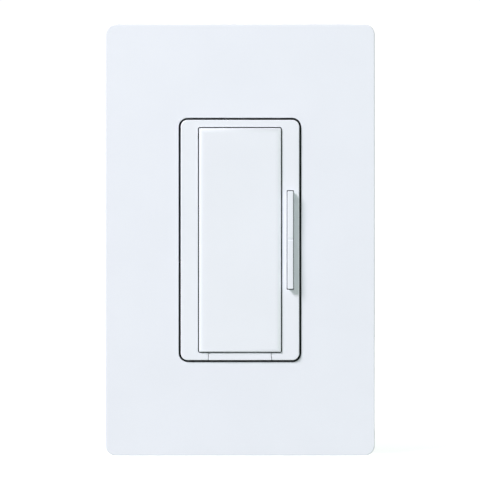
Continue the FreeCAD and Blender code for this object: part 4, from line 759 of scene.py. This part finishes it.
bmesh.ops.contextual_create(paddle_shape, geom=rim)
bmesh.ops.remove_doubles(paddle_shape, verts=paddle_shape.verts, dist=0.003 * MM)
bmesh.ops.recalc_face_normals(paddle_shape, faces=paddle_shape.faces)
paddle = keep_flat(piece_from("tap_paddle_moulding", paddle_shape, 50))
finish_piece(paddle, face_white, "paddle", "face_white", "tap_paddle")

# ---------------------------------------------------------------------------------------------
# Dimming rocker: a tall narrow bar that tips up or down. Its two faces meet in a shallow dip, and a
# notch moulded there, gentle from above and steep from below, lets the thumb feel the middle.
# ---------------------------------------------------------------------------------------------

GROOVE_ABOVE_MM = 0.8
GROOVE_BELOW_MM = 0.18
GROOVE_DEEP_MM = 0.3
GROOVE_REACH_MM = 0.6
BAR_EDGE_MM = 0.22
CORNER_DEG = 45

rocker_shape = node_mesh("dimming_rocker")
rocker_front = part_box("dimming_rocker")[0].y
corners = [edge for edge in rocker_shape.edges if edge.calc_face_angle(0.0) > math.radians(CORNER_DEG)]
bmesh.ops.bevel(rocker_shape, geom=corners, offset=BAR_EDGE_MM * MM, segments=8, profile=0.5, affect="EDGES",
                clamp_overlap=False)
for level in (-GROOVE_BELOW_MM, 0, GROOVE_ABOVE_MM):
    everything = rocker_shape.verts[:] + rocker_shape.edges[:] + rocker_shape.faces[:]
    bmesh.ops.bisect_plane(rocker_shape, geom=everything, dist=0.001 * MM, plane_co=(0, 0, level * MM),
                           plane_no=(0, 0, 1))
for vertex in rocker_shape.verts:
    if abs(vertex.co.z) < 0.01 * MM and vertex.co.y < rocker_front + GROOVE_REACH_MM * MM:
        vertex.co.y += GROOVE_DEEP_MM * MM
rocker = keep_flat(piece_from("dimming_rocker_bar", rocker_shape, 13))
finish_piece(rocker, face_white, "rocker", "face_white", "dimming_rocker")

# ---------------------------------------------------------------------------------------------
# Bezel: the frame round the paddle, hooked over the yoke's edges, with windows that leave an even
# shadow line round each moving piece.
# ---------------------------------------------------------------------------------------------

# Painted shade: the walls of the bezel's windows, and its sides behind the plate's face, are darkened like
# the gaps.
BEZEL_WINDOW_SHADE = (15.9, 32.6, -8.3)
BEZEL_OUTSIDE_SHADE = (20, 40, -7.6)

bezel_white = moulded("satin white polycarbonate bezel", *SATIN_WHITE, [BEZEL_WINDOW_SHADE, BEZEL_OUTSIDE_SHADE])
finish_piece(softened("bezel", "face_bezel", 0.08), bezel_white, "housing", "face_white", "bezel")

# ---------------------------------------------------------------------------------------------
# Plate adapter: the frame under the wall plate, held by two countersunk screws. Its ribs hook
# behind the plate's catches, so that no screw shows on the front.
# ---------------------------------------------------------------------------------------------

ADAPTER_HEAD_R_MM = 2.9
ADAPTER_HEAD_MM = 1.15

hidden_white = moulded("unpolished white moulding", "#DDE1E3", "#D2D7D9", 0.5, 0.3, 0.01)
finish_piece(softened("plate_adapter", "snap_adapter_frame", 0.12), hidden_white, "housing", "inner_white",
             "plate_adapter")
adapter_screws = screw_pair("adapter_fixing_screws", "adapter_screws", ADAPTER_HEAD_R_MM,
                            ADAPTER_HEAD_MM, 0.08)
finish_piece(adapter_screws, zinc_plate, "housing", "zinc_steel", "adapter_screws")

# ---------------------------------------------------------------------------------------------
# Wall plate: the screwless cover, a thin shell of satin white polycarbonate with soft outer edges.
# It is moulded face down in a fine-grained tool, so its gloss is low and very even.
# ---------------------------------------------------------------------------------------------

# Painted shade: the walls of the plate's opening, behind its face, are darkened like the gap.
PLATE_OPENING_SHADE = (17.4, 34.2, -7.5)

plate_white = moulded("satin white polycarbonate plate", "#EEF2F8", "#EBEFF5", 0.4, 0.25, 0.005,
                      {"IOR": 1.55}, [PLATE_OPENING_SHADE])
wall_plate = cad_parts["wall_plate"]
for place in wall_plate.material_slots:
    place.material = plate_white

# ---------------------------------------------------------------------------------------------
# Studio: the dimmer stands on a pale floor that glows enough to look white. One soft box, high on
# the left and far off, lights it, and a weak panel low on the right lifts the shadows. The room is
# white and brightest at its sides.
# ---------------------------------------------------------------------------------------------

LENS_MM = 200.0
SENSOR_MM = 36.0
FIELD_MM = 132.8
KEY_DISTANCE = 2.2
KEY_SIZE = 0.7
KEY_WATTS = 47.5
KEY_FROM = Vector((-0.585, -0.575, 0.572))
KEY_TINT = (1.0, 0.94, 1.01)
FILL_FROM = Vector((0.72, -0.62, -0.2))
FILL_DISTANCE = 1.2
FILL_SIZE = 0.8
FILL_WATTS = 4.7
FILL_TINT = (0.94, 1.05, 0.97)
ROOM_SIDES = 0.96
ROOM_BELOW = 0.4
BACKDROP = 1.05
FLOOR_GLOW = 0.65
FLOOR_R_MM = 900
FLOOR_THICK_MM = 1.5

low = cad_box[0]
middle = Vector((0, low.y, 0))

floor_shape = bmesh.new()
floor_line = [(0, FLOOR_R_MM), (-FLOOR_THICK_MM, FLOOR_R_MM), (-FLOOR_THICK_MM, 0)]
lathe(floor_shape, floor_line, (0, 0, low.z), (0, 0, 1), 96)
top_ring = [v for v in floor_shape.verts if abs(v.co.z - low.z) < 1e-6]
floor_shape.faces.new(top_ring)
floor = piece_from("studio_floor", floor_shape, 30)
glowing = {"IOR": 1.4, "Emission Strength": FLOOR_GLOW, "Emission Color": linear("#FFFFFF")}
floor_paint, tree, shader, mm = start_finish("pale matt floor paint", glowing)
roller = add(tree, "ShaderNodeTexNoise", {"Scale": 0.5, "Detail": 3.0}, {"Vector": mm})
tint = add(tree, "ShaderNodeValToRGB", links={"Fac": roller.outputs["Fac"]},
           stops=[(0.3, "#F4F4F4"), (0.7, "#FAFAFA")])
tree.links.new(tint.outputs["Color"], shader.inputs["Base Color"])
tree.links.new(between(tree, roller.outputs["Fac"], 0.8, 0.9), shader.inputs["Roughness"])
floor.data.materials.append(floor_paint)
floor.visible_diffuse = False

for name, towards, distance, size, watts, colour in (
        ("key_soft_box", KEY_FROM, KEY_DISTANCE, KEY_SIZE, KEY_WATTS, KEY_TINT),
        ("fill_panel", FILL_FROM, FILL_DISTANCE, FILL_SIZE, FILL_WATTS, FILL_TINT)):
    light = bpy.data.lights.new(name, "AREA")
    light.color = colour
    light.shape = "DISK"
    light.size = size
    light.energy = watts
    lamp = bpy.data.objects.new(name, light)
    lamp.location = middle + towards.normalized() * distance
    lamp.rotation_euler = (-towards).to_track_quat("-Z", "Y").to_euler()
    lamp.visible_camera = False
    bpy.context.scene.collection.objects.link(lamp)

room = bpy.data.worlds.new("white room")
room.use_nodes = True
tree = room.node_tree
tree.nodes.clear()
path = add(tree, "ShaderNodeLightPath")
facing = add(tree, "ShaderNodeTexCoord")
parts = add(tree, "ShaderNodeSeparateXYZ", links={0: facing.outputs["Generated"]})
across = add(tree, "ShaderNodeMapRange", {"From Min": -1.0}, {"Value": parts.outputs["Y"]})
walls = add(tree, "ShaderNodeValToRGB", links={"Fac": across.outputs["Result"]},
            stops=[(0.275, "#8E8E8E"), (0.4, "#E6E6E6"), (0.525, "#E6E6E6"), (0.65, "#AAAAAA")])
below = add(tree, "ShaderNodeMapRange", {"From Max": -1.0, "To Max": ROOM_BELOW},
            {"Value": parts.outputs["Z"]})
both = add(tree, "ShaderNodeMath", {"operation": "MULTIPLY_ADD", 1: ROOM_SIDES},
           {0: walls.outputs["Color"], 2: below.outputs["Result"]})
level = add(tree, "ShaderNodeMapRange", {"To Max": BACKDROP},
            {"Value": path.outputs["Is Camera Ray"], "To Min": both.outputs["Value"]})
tint = add(tree, "ShaderNodeMix", {"data_type": "RGBA", "A": linear("#F4FFF9"), "B": linear("#FFFFFF")},
           {"Factor": path.outputs["Is Camera Ray"]})
glow = add(tree, "ShaderNodeBackground",
           links={"Color": tint.outputs["Result"], "Strength": level.outputs["Result"]})
add(tree, "ShaderNodeOutputWorld", links={"Surface": glow.outputs["Background"]})
bpy.context.scene.world = room
bpy.context.scene.view_settings.view_transform = "Standard"

camera_data = bpy.data.cameras.new("camera")
camera_data.lens = LENS_MM
camera_data.sensor_width = SENSOR_MM
camera_data.clip_start = 0.01
camera_data.clip_end = 20.0
camera = bpy.data.objects.new("camera", camera_data)
plate_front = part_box("wall_plate")[0].y
camera.location = (0, plate_front - FIELD_MM * MM * LENS_MM / SENSOR_MM, 0)
camera.rotation_euler = (math.radians(90), 0, 0)
bpy.context.scene.collection.objects.link(camera)
bpy.context.scene.camera = camera
